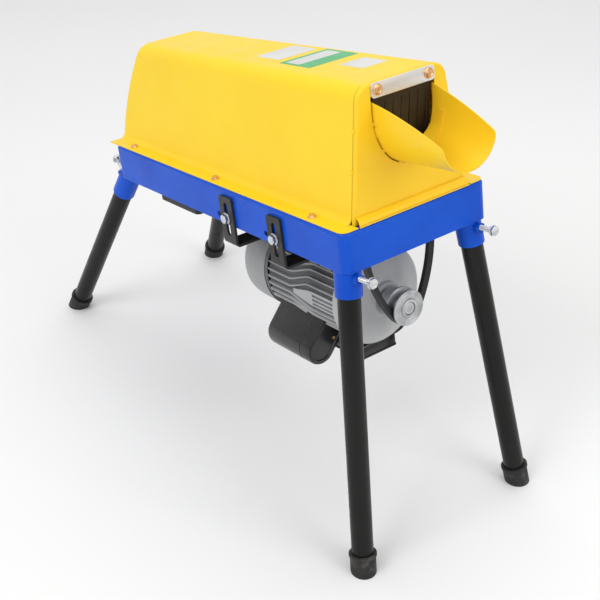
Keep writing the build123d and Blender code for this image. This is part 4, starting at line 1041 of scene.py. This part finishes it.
def socket_welds():
    """Painted bead where each socket meets the pad under the skirt."""
    for index, corner in enumerate(("front_near", "front_far", "rear_near", "rear_far")):
        joint = joints[f"leg_slide_{corner}"]
        leg = Vector(joint["axis"]).normalized()
        side = -1 if "near" in corner else 1
        front = "front" in corner
        mouth = deck(290 if front else -340, side * 112, -96)
        first = (ALONG - leg * ALONG.dot(leg)).normalized()
        second = leg.cross(first)
        line = []
        steps = 54
        for k in range(steps + 1):
            a = math.tau * k / steps
            out = first * math.cos(a) + second * math.sin(a)
            foot = mouth + out * 0.0191
            climb = ((deck(0, 0, -57.4) - foot).dot(RISE)) / (-leg).dot(RISE)
            point = foot - leg * climb
            inside = abs((point - ORIGIN).dot(ALONG)) < 0.309 and abs(point.y) < 0.1265
            if inside:
                line.append((point, out, RISE))
            elif len(line) > 4:
                break
        if len(line) > 4:
            bm = bmesh.new()
            weld_bead(bm, line, 0.0016, index)
            add_piece(f"socket_weld_{corner}", bm, "blue_paint", "frame", 50)


def seam_tacks():
    """Small painted welds that bridge the seam between the hood and its end plate."""
    bm = bmesh.new()
    for side in (-1, 1):
        for z, length in ((121, 7), (70, 6)):
            y = side * (98 - 0.139 * z + 0.7)
            outward = deck_direction(0, side, 0.139)
            line = []
            for k in range(9):
                t = k / 8 - 0.5
                line.append((deck(292.7 + 0.8 * math.sin(5 * t), y, z + length * t), ALONG, outward))
            weld_bead(bm, line, 0.0019, z + side)
    add_piece("seam_tacks", bm, "yellow_paint", "frame", 60)


# ------------------------------------------------------------------ stage and light
def stage():
    bm = bmesh.new()
    size, below = 20.0, -0.0002
    rings(bm, [[Vector((x, y, below)) for x in (-size, 0, size)] for y in (-size, 0, size)], closed=False)
    mesh = bpy.data.meshes.new("floor")
    bm.to_mesh(mesh)
    bm.free()
    floor = bpy.data.objects.new("floor", mesh)
    bpy.context.collection.objects.link(floor)
    g = Graph("floor_white")
    colour = g.mix(g.ramp(g.noise(0.8, 3), 0.3, 0.7), (0.87, 0.87, 0.87), (0.85, 0.85, 0.85))
    g.set("Specular IOR Level", 0.1)
    g.finish(colour, g.ramp(g.noise(3, 2), 0.3, 0.7, 0.7, 0.8), g.bump(g.noise(30, 2), 0.02, 0.001))
    mesh.materials.append(g.material)


def area_light(name, place, target, size, power, colour=(1, 1, 1)):
    data = bpy.data.lights.new(name, "AREA")
    data.shape, data.size, data.size_y = "RECTANGLE", size[0], size[1]
    data.energy, data.color = power, colour
    light = bpy.data.objects.new(name, data)
    bpy.context.collection.objects.link(light)
    light.location = place
    light.rotation_mode = "QUATERNION"
    light.rotation_quaternion = (Vector(target) - Vector(place)).to_track_quat("-Z", "Y")


def lights():
    world = bpy.data.worlds.new("studio")
    world.use_nodes = True
    world.node_tree.nodes["Background"].inputs["Color"].default_value = (1, 1, 1, 1)
    world.node_tree.nodes["Background"].inputs["Strength"].default_value = 0.7
    bpy.context.scene.world = world
    area_light("key", (0.3, -2.2, 2.6), (0, 0, 0.35), (1.6, 1.2), 31)
    area_light("front", (2.4, 0.6, 1.7), (0, 0, 0.3), (1.4, 1.4), 16)
    area_light("top", (-0.4, 0.6, 3.0), (0, 0, 0.4), (2.2, 2.2), 22)
    bpy.context.scene.view_settings.view_transform = "Standard"


add_camera()
lead_piece()
dress_cad()
stator_piece()
bells()
pulley_piece()
capacitor_piece()
terminal_piece()
belt_piece()
curtain_piece()
bolts()
labels()
socket_welds()
seam_tacks()
stage()
lights()
